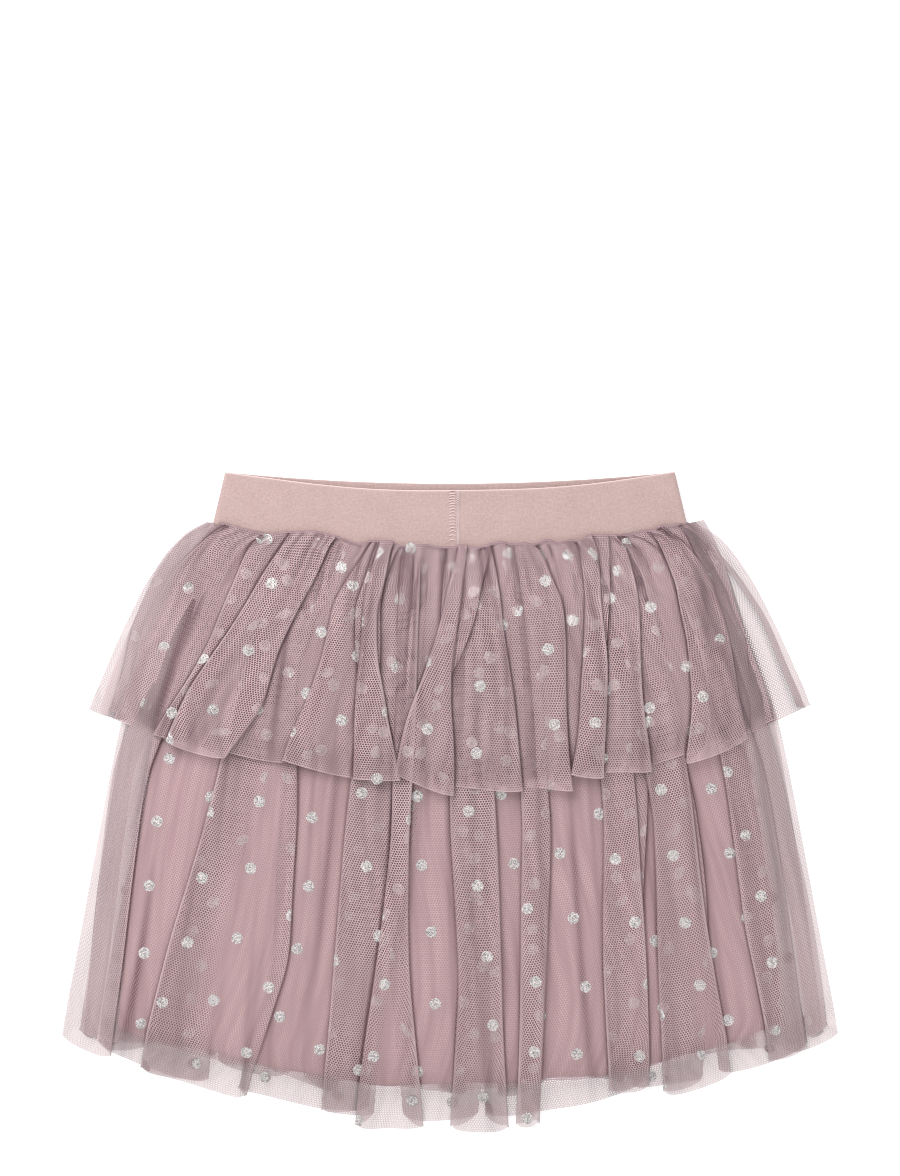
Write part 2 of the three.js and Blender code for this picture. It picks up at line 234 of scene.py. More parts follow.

# Painted shade along narrow creases in each stretch of net: how many to half of the skirt's width, how dark
# they are, their width as a share of their spacing, and how far they lean on their way down
Crease = namedtuple("Crease", "count dark width lean phase")
CREASES = [
    Crease(6.7, 0.62, 0.09, 0.30, 0.6),
    Crease(11.3, 0.55, 0.10, -0.35, 1.5),
    Crease(16.9, 0.45, 0.15, 0.25, 3.9),
]
CREASE_BEND = 2.2
CREASE_TURN = 2.3
CREASE_DOWN = 4.1
CREASE_STEP = 1.7
CREASE_DENSE = 0.25
CREASE_STRENGTH = (0.5, 0.7)
CREASE_LENGTH = (0.45, 0.65)
STRETCH_TURN = 1.9

# A layer of net. outward is 1 on the front and -1 on the back, whose outer face looks down. turn sets
# its ripples apart from the others'. shorter is how far its hem lies above the outline's, and left
# and right how far its sides stay inside the outline, at the same five places as a fold's edge.
NetPanel = namedtuple("NetPanel", "name tier outward turn rows shorter left right folds")
AT_OUTLINE = (0, 0, 0, 0, 0)
BACK_LEFT = (0, 1, 3, 5, 12)
BACK_RIGHT = (0, 1, 3, 5, 8)
FRONT_RIGHT = (3, 10, 16, 20, 23)
NET_PANELS = [
    NetPanel("top_tier_back", "top_tier", -1, 2.0, 44, 2.0, (0, 2, 3, 4, 5), AT_OUTLINE, TOP_BACK_FOLDS),
    NetPanel("lower_tier_back", "lower_tier", -1, 2.5, 70, 15.0, BACK_LEFT, BACK_RIGHT, LOWER_BACK_FOLDS),
    NetPanel("lower_tier_front", "lower_tier", 1, 1.5, 96, 0.0, AT_OUTLINE, AT_OUTLINE, LOWER_FRONT_FOLDS),
    NetPanel("top_tier_front", "top_tier", 1, 1.0, 76, 0.0, AT_OUTLINE, FRONT_RIGHT, TOP_FRONT_FOLDS),
]

# How finely the net is divided, and over how many points its lines and scallops are rounded
COLUMN_PITCH = 1.15
LEAST_COLUMNS = 5
ROWS_CLOSER = 0.28
LINE_KERNEL = 13
SCALLOP_KERNEL = 9

# The net's hem: the width of its edge row, how its corners and hidden stretches rise, its small
# waves, and how much longer the back panel is at its sides
HEM_EDGE = 0.7
HEM_ROUND = {"top_tier": 0.7, "lower_tier": 2.4}
HEM_CORNER = 3.0
HEM_WAVE = 0.9
HEM_WAVE_LENGTH = 11.0
HEM_WAVE_TURN = 1.3
HEM_STEP = 1.8
HIDDEN_RISE = 0.55
SIDE_DROP = 0.5
DROP_FROM = 0.25
DROP_OVER = 0.7
SIDE_LONGER = 0.65
SIDE_FROM = 0.7
SIDE_OVER = 0.2

# The net's top edge lies in uneven scallops over the band: how far it is lifted, along x
Scallop = namedtuple("Scallop", "x lift")
SCALLOPS = [Scallop(*row) for row in (
    (-133, 0.0), (-124, 0.6), (-107, -1.2), (-100, -1.6), (-95, -0.6), (-88, 1.4), (-73, 3.8),
    (-63, 2.8), (-54, 0.6), (-49, -1.2), (-43, 1.6), (-31, 2.1), (-26, -0.5), (-20, 0.5), (-13, 0.8),
    (-6, -0.5), (3, -0.2), (8, 0.7), (14.5, -1.2), (20, 0.4), (27, 2.1), (34, 0.0), (40, 0.6),
    (45, -0.8), (52, 1.8), (58.5, -1.1), (64, 0.3), (69, -1.0), (75, 1.6), (83, 0.5), (91, -0.8),
    (99, -1.5), (104, -0.3), (109, -1.5), (113, 0.7), (121, -0.9), (128, 0.8), (133, 0.0),
)]
SCALLOP_REACH = 14.0
SCALLOP_PLACES = np.linspace(-145, 145, 581)

# The edge of net that rolls out over the band: rows of y and height, from the band to the panel
LipRow = namedtuple("LipRow", "lift rise")
LIP_ROWS = [
    LipRow(-0.6, -2.0), LipRow(-0.5, -0.9), LipRow(0.5, -0.5), LipRow(1.3, 0.0),
    LipRow(1.6, 0.5), LipRow(1.3, 1.0), LipRow(0.6, 1.4),
]
LIP_END = 121.0
LIP_FADE = 8.0
LIP_GATHER = 0.35
LIP_PITCH = 0.8

# Glitter dots: a half-drop lattice in the flat cloth
DOT_RADIUS = 3.2
DOT_RINGS = (0.0, 0.6, 1.0)
DOT_EDGE = (0.91, 1.04)
DOT_SIDES = 22
DOT_LIFT = 0.14
DOT_CROWN = 0.1
DOT_LOWEST = 0.12
DOT_LEAST_FACING = 0.1
DOT_FREE_CORNER = 7.0
DOT_COLUMN_PITCH = 25.5
DOT_ROW_PITCH = 36.5
DOT_FIRST_ROW = 5.0
DOT_SCATTER = 1.2
DOT_PAST_WAIST = 1.0
DOT_PAST_HEM = 0.4
DOT_DRIFT = 9.0
DOT_DRIFT_LENGTH = 210.0
DOT_TURN = 1.7

# The lining: the thickness and wave of its jersey. A wave's phase differs from the back panel to the
# front one and changes down the cloth, and a crease is a narrow valley that leans.
LINING_ROWS = 90
LINING_COLUMNS = 150
JERSEY = 0.7
LINING_GAP = 0.4
LINING_LIFT = 1.2
LINING_FLAT_WAIST = 0.2
LINING_FLAT_SIDE = 1 / 6
LINING_HEM_FROM = 0.8
LiningWave = namedtuple("LiningWave", "depth count phase by_side down down_by_side flatter")
LINING_WAVES = [
    LiningWave(0.55, 3.1, 0.0, 0.7, 1.0, 0.0, 0.0),
    LiningWave(0.35, 6.7, 2.4, 0.0, 0.0, 0.8, 0.0),
    LiningWave(0.30, 12.3, 0.0, 1.0, 0.0, 0.0, 0.8),
]
LiningCrease = namedtuple("LiningCrease", "count depth lean")
LINING_CREASES = [LiningCrease(2.6, 0.75, 0.35), LiningCrease(4.1, 0.55, -0.5), LiningCrease(6.3, 0.40, 0.8)]
HemWave = namedtuple("HemWave", "size count phase")
LINING_HEM_WAVES = [HemWave(1.2, 1.3, 0.4), HemWave(0.8, 2.9, 2.0)]

# The elastic band, laid flat as a ring, and its overlocked join
BAND_HALF_TOP = 120.5
BAND_HALF_BOTTOM = 127.0
BAND_WALL = 1.3
BAND_DEPTH_TOP = 5.0
BAND_DEPTH_BOTTOM = 6.5
BAND_BOTTOM_MIDDLE = 135.4
BAND_BOTTOM_CORNER = 149.6
BAND_FRONT_TOP = 167.4
BAND_BACK_TOP = 171.1
BAND_TOP_CORNER = 177.3
BAND_COLUMNS = 150
BAND_ROWS = 20
BAND_FOLD_COLUMNS = 10
BAND_LAST_SHARES = (0.985, 1.0)
BAND_TOP_ROWS = ((1.008, 0.7), (1.012, 0.0), (1.008, -0.7))
# Where the painted highlight along the band's top edge starts, as a share of its height
BAND_HIGHLIGHT_FROM = 0.98
BandWave = namedtuple("BandWave", "size length lean phase")
BAND_TOP_WAVE = BandWave(0.25, 17.0, 0.0, 1.0)
BAND_FACE_WAVES = [BandWave(0.16, 9.3, 3.0, 0.0), BandWave(0.12, 21.0, 0.0, 2.0)]
SEAM_MIDDLE = 2.1
SEAM_HALF_WIDTH = 3.0
SEAM_ROWS = 40
SEAM_COLUMNS = 15
SEAM_SHARES = (0.02, 0.995)
SEAM_HEIGHT = 0.3
SEAM_SUNK = 0.12
SEAM_LEAST = 0.05
SEAM_SWING = 0.25
SEAM_SWING_TURN = 0.8
SEAM_GRAIN = 0.03
SEAM_GRAIN_TURN = 1.7

# The join's stitches: bars that lie across it, and lines of loops beside them
BAR_COUNT = 18
BAR_LEFT = -2.7
BAR_RIGHT = 1.3
BAR_STEPS = 6
BAR_HEIGHT = 0.42
BAR_SAG = 0.25
BAR_SHARES = (0.05, 0.99)
BAR_CLOSER = 0.75
BAR_SLANTS = (0.010, 0.028)
BAR_SCATTER = 0.05
BAR_RADIUS = 0.4
LOOP_LINES = ((1.8, 0.0), (2.75, math.pi))
LOOP_STEPS = 190
LOOP_SHARES = (0.04, 0.995)
LOOP_TURN = 0.9
LOOP_SWING = 0.3
LOOP_HEIGHT = 0.3
LOOP_RISE = 0.1
LOOP_RADIUS = 0.3
THREAD_SIDES = 6
THREAD_END = 0.55
THREAD_MAP = (0.001, 0.0003)

# Colours are linear, as reflected by the cloth, but the net's darkest colour is painted shade, the band's
# rim colour a painted highlight and the glitter's flake tones painted glints. A knit's pitch is in mm, and
# relief is the strength of its bump.
NET_COLOUR = (0.755, 0.547, 0.57)
NET_SHADE = (0.54, 0.37, 0.39)
# Painted shade colour for covered, creased and steep net
NET_PAINTED_SHADE = (0.19, 0.108, 0.126)
NET_PALE = (0.73, 0.575, 0.585)
NET_GREY = (0.49, 0.41, 0.42)
Knit = namedtuple("Knit", "name light dark pitch relief roughness")
JERSEY_KNIT = Knit("jersey", (0.565, 0.35, 0.355), (0.475, 0.285, 0.29), 0.9, 0.25, 0.85)
ELASTIC_KNIT = Knit("soft_elastic", (0.62, 0.455, 0.43), (0.46, 0.325, 0.305), 0.75, 0.3, 0.8)
LOOP_UNEVEN = 0.55
LOOP_SHADE = 0.7
Mottle = namedtuple("Mottle", "scale detail share")
KNIT_MOTTLES = [Mottle(0.06, 3.0, 0.5), Mottle(0.5, 2.0, 1.1)]
# Painted highlight along the band's top edge
BAND_HIGHLIGHT = (0.74, 0.57, 0.55)
BAND_HIGHLIGHT_SHARE = 3.0
THREAD_COLOUR = (0.88, 0.72, 0.73)
THREAD_SHADE = (0.62, 0.455, 0.44)
FLAKE_SCALE = 1.9
# Dark and bright flake tones: painted glints of flakes at different tilts
GLITTER_GLINT_STOPS = ((0.2, (0.25, 0.222, 0.222)), (0.75, (0.83, 0.79, 0.785)))
WHITE = (1.0, 1.0, 1.0)
FLOOR_COLOUR = (0.55, 0.55, 0.55)
FLOOR_GLOW = 0.6

# The net's pattern: its mesh in mm, how wide its thread is and how streaks of the cloth change that,
# how far each state changes the colour, and how much a thread, a hole and the veil hide
NET_PITCH = 1.4
NET_THREAD = 0.33
EDGE_THREAD = 0.5
STREAK_THREAD = 0.16
STREAK_SHAPE = (0.30, 0.018, 1.0)
MESH_START = (900.0, 900.0, 0.0)
STREAK_SHADE = (-2.5, 1.75)
PALE_DENSE = 0.7
# How far the painted shade darkens covered, creased and steep net
PAINTED_SHADE_SHARE = 0.85
PALE_SHARE = 0.8
GREY_SHARE = 0.45
THREAD_COVER = 0.84
HOLE_COVER = 0.12
VEIL_COVER = 0.5
VEIL_SOFTNESS = 0.7
VEIL_REACH = 4.0

# The camera straight above the laid skirt, and the studio round it. Lights are in metres and watts.
PHOTO_HEIGHT = 1176
PHOTO_SCALE = 0.5364
SENSOR = 36.0
LENS = 100.0
CAMERA_MIDDLE_Y = 115.3
SKIRT_FACE = 10.0
FLOOR_HALF = 6000.0
FLOOR_TOP = -0.05
SURROUND = 0.7
Light = namedtuple("Light", "name place size power")
LIGHTS = [
    Light("key_light", (-0.75, 1.15, 1.35), 0.9, 31.0),
    Light("fill_light", (1.3, -0.6, 1.5), 1.2, 12.0),
]


def smooth(value):
    """0 below 0, 1 above 1, and an even curve between them."""
    value = np.clip(value, 0.0, 1.0)
    return value * value * (3 - 2 * value)


def along(below, column):
    """One column of the outline table, at distances down the cloth."""
    return np.interp(below, [row.below for row in OUTLINES], [getattr(row, column) for row in OUTLINES])


def row_height(x, below):
    """y of a point of the laid cloth: each row rises towards the sides."""
    return WAIST_LINE - below + along(below, "rise") * (x / RISE_REACH) ** 2


def reach_at(below, reach):
    """How wide an edge slopes: narrow at the waist, where the band holds the layers up."""
    return WAIST_REACH + (reach - WAIST_REACH) * smooth(below / SPREAD_BELOW)


def inside(tier, x, below):
    """How fully a layer lifts what lies on it: 0 at its edges and 1 a little way in."""
    sides = smooth((along(below, tier) - np.abs(x)) / reach_at(below, EDGE_REACH))
    hem = smooth((LENGTHS[tier] - below) / EDGE_REACH * 2)
    return sides * hem


def over_lining(x, below):
    """How fully the net in front is lifted by the lining: 1 over it, and 0 a little way past it."""
    sides = smooth((along(below, "lining") + LINING_PAST - np.abs(x)) / reach_at(below, LINING_SLOPE))
    hem = smooth((LINING_LENGTH + LINING_PAST - below) / LINING_SLOPE)
    return sides * hem


def layer_height(layer, x, below):
    """Height that a layer's lowest surface lies at, on the layers under it."""
    loose = smooth(below / LOOSE_BELOW)
    net = WAIST_SPACE + (NET_SPACE - WAIST_SPACE) * loose
    lining = WAIST_SPACE + (LINING_SPACE - WAIST_SPACE) * loose
    height = FLOOR_GAP + np.zeros(np.broadcast(x, below).shape)
    if layer == "top_tier_back":
        return height
    height = height + net * inside("top_tier", x, below)
    if layer == "lower_tier_back":
        return height
    height = height + net * inside("lower_tier", x, below)
    if layer == "lining_back":
        return height
    if layer == "lining_front":
        return height + EDGE_SPACE + (lining - EDGE_SPACE) * inside("lining", x, below)
    height = height + 2 * lining * over_lining(x, below)
    if layer == "lower_tier_front":
        return height
    return height + net * inside("lower_tier", x, below)


def ripple_height(x, below, panel):
    """Small uneven ripples that fan out from the waist."""
    share = below / LENGTHS[panel.tier]
    place = x / along(below, panel.tier)
    total = 0.0
    for ripple in RIPPLES:
        size = np.interp(share, [0, 0.33, 1], [ripple.waist, ripple.third, ripple.hem])
        angle = math.pi * ripple.count * place + (ripple.phase + RIPPLE_LEAN * share) * panel.turn
        swell = FULL_TURN * SWELL_COUNT * ripple.count * place + panel.turn + ripple.phase
        size = size * (1 - RIPPLE_SWELL + RIPPLE_SWELL * np.sin(swell))
        total = total + size * (2 * np.abs(np.sin(angle)) - MEAN_RIPPLE)
    return total


def waver(waves, share, number):
    """A sum of sines that differs from fold to fold and down its length."""
    return sum(wave.size * np.sin(wave.along * share + wave.number * number) for wave in waves)


def uneven(middle, swing, angle):
    """A share from 0 to 1 that swings about its middle value."""
    return np.clip(middle + swing * np.sin(angle), 0, 1)


def crease_painted_shade(x, below, tier, turn):
    """How dark the painted shade of the net is along narrow creases, each strongest at a place of its own.
    """
    share = below / LENGTHS[tier]
    place = x / along(below, tier)
    total = 0.0
    for crease in CREASES:
        bend = crease.lean * np.sin(CREASE_BEND * share + turn)
        position = crease.count * place + bend + crease.phase * turn
        number = np.floor(position)
        away = np.abs(position - number - 0.5) / crease.width
        strength = uneven(*CREASE_STRENGTH, CREASE_TURN * number + crease.phase + turn)
        lengthwise = uneven(*CREASE_LENGTH, CREASE_DOWN * share + CREASE_STEP * number + turn)
        total = total + crease.dark * strength * lengthwise * np.exp(-away ** 2)
    return total


def mesh_object(name, points, faces, uvs=None, states=None):
    """A smooth mesh from points in mm. uvs holds one pair for each point, and states four values."""
    mesh = bpy.data.meshes.new(name)
    mesh.from_pydata((np.asarray(points) * MM).tolist(), [], faces)
    mesh.polygons.foreach_set("use_smooth", [True] * len(mesh.polygons))
    if uvs is not None:
        layer = mesh.uv_layers.new(name="cloth")
        corners = np.zeros(len(mesh.loops), dtype=np.int32)
        mesh.loops.foreach_get("vertex_index", corners)
        layer.data.foreach_set("uv", np.asarray(uvs)[corners].astype(np.float32).ravel())
    if states is not None:
        kept = mesh.attributes.new("state", "FLOAT_COLOR", "POINT")
        kept.data.foreach_set("color", np.asarray(states).astype(np.float32).ravel())
    mesh.update()
    made = bpy.data.objects.new(name, mesh)
    bpy.context.scene.collection.objects.link(made)
    return made


def grid_faces(rows, columns, start=0, closed=False, flip=False):
    """Faces of a grid of points kept row by row. A closed grid's last column joins its first."""
    across = columns if closed else columns - 1
    faces = []
    for row in range(rows - 1):
        for column in range(across):
            beside = (column + 1) % columns
            a = start + row * columns + column
            b = start + row * columns + beside
            c = b + columns
            d = a + columns
            faces.append((a, b, c, d) if flip else (a, d, c, b))
    return faces


def turning_lines(panel, share):
    """x of each line where the cloth turns, row by row, with each line's hem drop and puff, and whether
    the cloth goes up or down in the stack there."""
    length = LENGTHS[panel.tier]
    half = along(share * length, panel.tier)
    left = np.interp(share, STATIONS, panel.left) - half
    right = half - np.interp(share, STATIONS, panel.right)
    tucks = [np.interp(share, [0, 1], [fold.tuck_waist, fold.tuck_hem]) for fold in panel.folds]
    spare = NET_WIDTHS[panel.tier] - (right - left)
    scale = np.clip(TUCK_FILL * spare / (2 * sum(tucks)), *TUCK_SCALES)
    turns = [(left, panel.folds[0].drop * SIDE_DROP, 0.0)]
    steps = []
    for index, fold in enumerate(panel.folds):
        places = (fold.waist, fold.quarter, fold.half, fold.three_quarters, fold.hem)
        edge = np.interp(share, STATIONS, places) + waver(EDGE_WAVERS, share, index) * smooth(share * 4)
        sweep = WAIST_SWEEP * (1 + SWEEP_CHANGE * np.sin(SWEEP_TURN * index))
        edge = edge * (1 - sweep * np.exp(-share * length / SWEEP_REACH))
        tuck = tucks[index] * scale * (1 + waver(TUCK_WAVERS, share, index))
        beside = fold.drop - HEM_STEP - HIDDEN_RISE * max(fold.drop, 0)
        if fold.faces == "right":
            turns += [(edge, fold.drop, fold.puff), (edge - tuck, beside, 0.0)]
            steps += [-1, -1]
        else:
            turns += [(edge + tuck, beside, 0.0), (edge, fold.drop, fold.puff)]
            steps += [1, 1]
    turns.append((right, panel.folds[-1].drop * SIDE_DROP, 0.0))
    lines, drops, puffs = zip(*turns)
    return smooth_lines(lines), drops, puffs, steps


def rounded(values, size, mode):
    """Values in a row with their bends rounded over `size` of them."""
    kernel = np.hanning(size)
    return np.convolve(values, kernel / kernel.sum(), mode=mode)


def smooth_lines(lines):
    """The turning lines with their bends rounded down the cloth."""
    padded = [np.pad(line, LINE_KERNEL // 2, mode="reflect", reflect_type="odd") for line in lines]
    return [rounded(line, LINE_KERNEL, "valid") for line in padded]


def stack_order(x, number, lines, ranks, softness=TURN_SOFTNESS):
    """How many other stretches of the same row lie under stretch `number` at x."""
    order = np.zeros(x.shape)
    for other in range(len(ranks)):
        if ranks[other] >= ranks[number]:
            continue
        low = np.minimum(lines[other], lines[other + 1])[:, None]
        high = np.maximum(lines[other], lines[other + 1])[:, None]
        away = np.maximum(np.maximum(low - x, x - high), 0)
        cover = 1 - smooth(away / softness)
        order += cover * np.clip((high - low) / LEAST_FOLD, 0, 1)
    return order


def net_rows(panel):
    """Shares of the length at which a panel has rows of points: closer together at the waist."""
    steps = np.linspace(0, 1, panel.rows)
    shares = (1 - ROWS_CLOSER) * steps + ROWS_CLOSER * steps ** 2
    return np.insert(shares, -1, 1 - HEM_EDGE / LENGTHS[panel.tier])


def hem_level(drop, x, number, panel, corners=1.0):
    """How far the hem hangs below the outline: less at the corners of a stretch."""
    waves = HEM_WAVE * np.sin(x / HEM_WAVE_LENGTH + HEM_WAVE_TURN * number)
    return drop - HEM_ROUND[panel.tier] * corners + waves


def line_marks(x, number, lines, ranks, puffs):
    """How far a stretch puffs up beside its turning lines, how near it comes to a hidden one, and how
    near to either."""
    puff, thin, corners = np.zeros((3, *x.shape))
    for line, beside in ((number, number - 1), (number + 1, number + 1)):
        away = np.abs(x - lines[line][:, None])
        corners += np.exp(-away / HEM_CORNER)
        if not 0 <= beside < len(ranks):
            continue
        if ranks[number] > ranks[beside]:
            puff += puffs[line] * np.exp(-away / PUFF_REACH)
        if puffs[line] == 0:
            thin = np.maximum(thin, np.exp(-away / TUCK_FADE))
    return puff, thin, corners


def net_points(panel):
    """x, height and hem drop of a gathered net panel's points, row by row, its rows' distances down the
    cloth, and what the shader reads at each point."""
    share = net_rows(panel)
    below = share * LENGTHS[panel.tier]
    lines, drops, puffs, steps = turning_lines(panel, share)
    ranks = np.concatenate([[0], np.cumsum(steps)])
    upward = ranks if panel.outward < 0 else -ranks
    pressed = WAIST_PRESS + (1 - WAIST_PRESS) * smooth(below / PRESS_BELOW)
    thinning = TUCK_THIN * smooth((1 - share) * HEM_CLEAR)[:, None]
    last = len(lines) - 2
    xs, heights, hems, states = [], [], [], []
    for number in range(last + 1):
        start, end = lines[number], lines[number + 1]
        count = max(LEAST_COLUMNS, round(float(np.mean(np.abs(end - start))) / COLUMN_PITCH))
        step = np.linspace(0, 1, count)
        step = 0.5 * step + 0.5 * smooth(step)
        x = start[:, None] + (end - start)[:, None] * step
        puff, thin, corners = line_marks(x, number, lines, ranks, puffs)
        # Layers over each point: they set its painted shade, and thin the thread of hidden tucks
        cover_and_shade = stack_order(x, number, lines, upward, COVER_SOFTNESS)
        # Painted shade along creases, where the thread also lies closer
        crease_shade = crease_painted_shade(x, below[:, None], panel.tier, STRETCH_TURN * number)
        dense = CREASE_DENSE * crease_shade - thinning * thin * np.clip(cover_and_shade, 0, 1)
        order = stack_order(x, number, lines, ranks)
        drop = drops[number] + (drops[number + 1] - drops[number]) * step
        xs.append(x)
        heights.append((order * STACK_STEP + puff) * pressed[:, None])
        hems.append(hem_level(drop, x, number, panel, corners))
        states.append(np.stack([cover_and_shade + crease_shade, dense, 0 * x, 0 * x], axis=-1))
        if number < last:
            add_turn(xs, heights, hems, lines, drops, number, ranks, panel, puffs, pressed)
            states.append(turn_states(puffs[number + 1] > 0, share, below, number, thinning))
            states[-2][:, -1, PALE] = RIM_BESIDE * states[-1][:, 0, PALE]
    x, height, hem, state = (np.concatenate(parts, axis=1) for parts in (xs, heights, hems, states))
    return x, height, hem, share, below, state


def turn_states(shows, share, below, number, thinning):
    """What the shader reads on a turn: a pale rim where it shows, and thin net in full painted shade where
    it is hidden.
    """
    turn = np.zeros((len(share), TURN_POINTS, 4))
    if shows:
        rim = np.clip(RIM_STRENGTH + waver(RIM_WAVERS, share, number), *RIM_LIMITS)
        turn[:, :, PALE] = (rim * smooth(below / RIM_BELOW))[:, None]
    else:
        # Painted shade on a turn hidden under the fold
        turn[:, :, PAINTED_SHADE] = 1.0
        turn[:, :, DENSE] = -thinning
    return turn


def add_turn(xs, heights, hems, lines, drops, number, ranks, panel, puffs, pressed):
    """The round turn between two stretches: a half circle that stands a little past the line."""
    here = heights[-1][:, -1]
    line = lines[number + 1][:, None] + np.zeros((len(pressed), TURN_POINTS))
    other = stack_order(line[:, :1], number + 1, lines, ranks)[:, 0] * STACK_STEP * pressed
    if ranks[number + 1] > ranks[number]:
        other = other + puffs[number + 1] * pressed
    angle = np.linspace(0, math.pi, TURN_POINTS + 2)[1:-1]
    middle = 0.5 * (here + other)[:, None]
    reach = 0.5 * (here - other)[:, None]
    side = np.sign(np.mean(lines[number + 1] - lines[number + 2]))
    xs.append(line + side * np.abs(reach) * np.sin(angle))
    heights.append(middle + reach * np.cos(angle))
    hems.append(hem_level(drops[number + 1], line, number, panel))


def scallop_lift(x, below):
    """How far the scallops of the net's top edge move the cloth up there."""
    lifts = np.interp(SCALLOP_PLACES, [row.x for row in SCALLOPS], [row.lift for row in SCALLOPS])
    lifts = rounded(lifts, SCALLOP_KERNEL, "same")
    return np.interp(x, SCALLOP_PLACES, lifts) * (1 - smooth(below / SCALLOP_REACH))


def add_lip(points, across, below, states):
    """Puts rows before the panel's first that roll its gathered edge out over the band."""
    x, y, z = points[0].T
    start = layer_height("top_tier_front", x, 0.0 * x)
    rolled = 1 - smooth((np.abs(x) - LIP_END) / LIP_FADE)
    rows = []
    for lift, rise in LIP_ROWS:
        height = rolled * (start + rise + LIP_GATHER * (z - start)) + (1 - rolled) * z
        rows.append(np.stack([x, y + lift * rolled, np.maximum(height, FLOOR_GAP)], axis=-1))
    count = len(rows)
    lip_states = np.repeat(states[:1], count, axis=0)
    # The rolled edge gets painted shade and closer thread
    lip_states[:, :, PAINTED_SHADE:VEIL] = LIP_LOOK
    points = np.concatenate([np.stack(rows), points])
    across = np.concatenate([np.repeat(across[:1], count, axis=0), across])
    below = np.concatenate([(np.arange(count) - count) * LIP_PITCH, below])
    return points, across, below, np.concatenate([lip_states, states])


def under_other_net(panel, x, below):
    """How many layers of another panel's net lie on this one, which sets painted shade on it."""
    if panel.tier == "top_tier":
        return 0.0 * x
    within = smooth((along(below, "top_tier") - np.abs(x)) / SLOPE_WIDTH)
    return OTHER_NET * smooth((TOP_LENGTH - below) / OTHER_NET_REACH) * within


def over_ground(panel, x, below):
    """How fully a net lies past what is behind it: 1 where it is seen against the ground."""
    behind = "lower_tier" if panel.tier == "top_tier" else "lining"
    sides = smooth((np.abs(x) - along(below, behind)) / VEIL_REACH)
    hem = smooth((below - LINING_LENGTH) / VEIL_REACH)
    return np.maximum(sides, hem)


def net_height(panel, x, rows, hang, folds):
    """Height of a net panel's points: folds, and ripples between them, on its layer's base."""
    base = layer_height(panel.name, x, rows + hang)
    ripple = ripple_height(x, rows, panel)
    edge = smooth((along(rows, panel.tier) - np.abs(x)) / SLOPE_WIDTH)
    if panel.outward > 0:
        z = base + folds + (ripple + FRONT_RIPPLE_LIFT) * (EDGE_RIPPLE + (1 - EDGE_RIPPLE) * edge)
    else:
        most = folds.max(axis=1, keepdims=True)
        z = base + edge * (BACK_FOLDS * (most - folds) + BACK_RIPPLE * (ripple + BACK_RIPPLE_LIFT))
    return np.maximum(z, FLOOR_GAP)


def finish_states(panel, x, z, rows, hang, states):
    """Adds painted shade on steep net and under another panel's net, closer thread on steep net and at the
    waist, the edges and the veil to what the shader reads.
    """
    step = np.maximum(np.abs(np.gradient(x, axis=1)), LEAST_STEP)
    slope = np.clip(np.abs(np.gradient(z, axis=1)) / step, 0, STEEPEST)
    steep = np.sqrt(1 + slope ** 2) - 1
    # Painted shade on steep slopes and under another panel's net; steep net's thread also lies closer
    states[:, :, PAINTED_SHADE] += under_other_net(panel, x, rows) + steep
    states[:, :, DENSE] += WAIST_DENSE * (1 - smooth(rows / WAIST_DENSE_BELOW)) + STEEP_DENSE * steep
    states[-1, :, DENSE:VEIL] = HEM_LOOK
    states[:, (0, -1), DENSE:VEIL] = SIDE_LOOK
    states[:, :, VEIL] = over_ground(panel, x, rows + hang)


def net_sheet(panel):
    """Builds a net panel as one thin sheet and returns it with the points that its dots lie on."""
    x, folds, hem, share, below, states = net_points(panel)
    rows = below[:, None] + np.zeros(x.shape)
    beside = smooth((np.abs(x) / along(rows, panel.tier) - SIDE_FROM) / SIDE_OVER)
    shorter = panel.shorter * (1 - SIDE_LONGER * beside) * smooth(rows / LENGTHS[panel.tier])
    hang = hem * smooth((share - DROP_FROM) / DROP_OVER)[:, None] - shorter
    z = net_height(panel, x, rows, hang, folds)
    y = row_height(x, rows) - hang
    finish_states(panel, x, z, rows, hang, states)
    across = np.cumsum(np.hypot(np.diff(x, axis=1), np.diff(z, axis=1)), axis=1)
    across = np.hstack([np.zeros((len(below), 1)), across])
    across = across - across[:, -1:] / 2
    if panel.name == "top_tier_front":
        points = np.stack([x, y + scallop_lift(x, rows), z], axis=-1)
        points, across, below, states = add_lip(points, across, below, states)
    else:
        points = np.stack([x, y, z], axis=-1)
    down = below[:, None] + np.zeros(across.shape)
    uvs = np.stack([across, down], axis=-1).reshape(-1, 2) * MM
    faces = grid_faces(*across.shape, flip=panel.outward < 0)
    sheet = mesh_object("net_" + panel.name, points.reshape(-1, 3), faces, uvs, states.reshape(-1, 4))
    return sheet, points, across, below


def sheet_normals(points, outward):
    """Unit normals of a grid of points, on its outer side."""
    across = np.gradient(points, axis=1)
    down = np.gradient(points, axis=0)
    normals = np.cross(down, across)
    size = np.linalg.norm(normals, axis=-1, keepdims=True)
    return outward * normals / np.maximum(size, 1e-9)


def on_sheet(points, normals, across, below, place_across, place_down):
    """A point of the sheet, and its normal, from its distances across and down the flat cloth."""
    place_down = min(max(place_down, below[0]), below[-1])
    row = np.interp(place_down, below, np.arange(len(below)))
    upper = min(int(row), len(below) - 2)
    part = row - upper
    numbers = np.arange(across.shape[1])
    columns = [np.interp(place_across, across[index], numbers) for index in (upper, upper + 1)]
    found = []
    for values in (points, normals):
        sides = []
        for index, column in zip((upper, upper + 1), columns):
            left = min(int(column), len(numbers) - 2)
            share = column - left
            sides.append(values[index, left] * (1 - share) + values[index, left + 1] * share)
        found.append(sides[0] * (1 - part) + sides[1] * part)
    return found


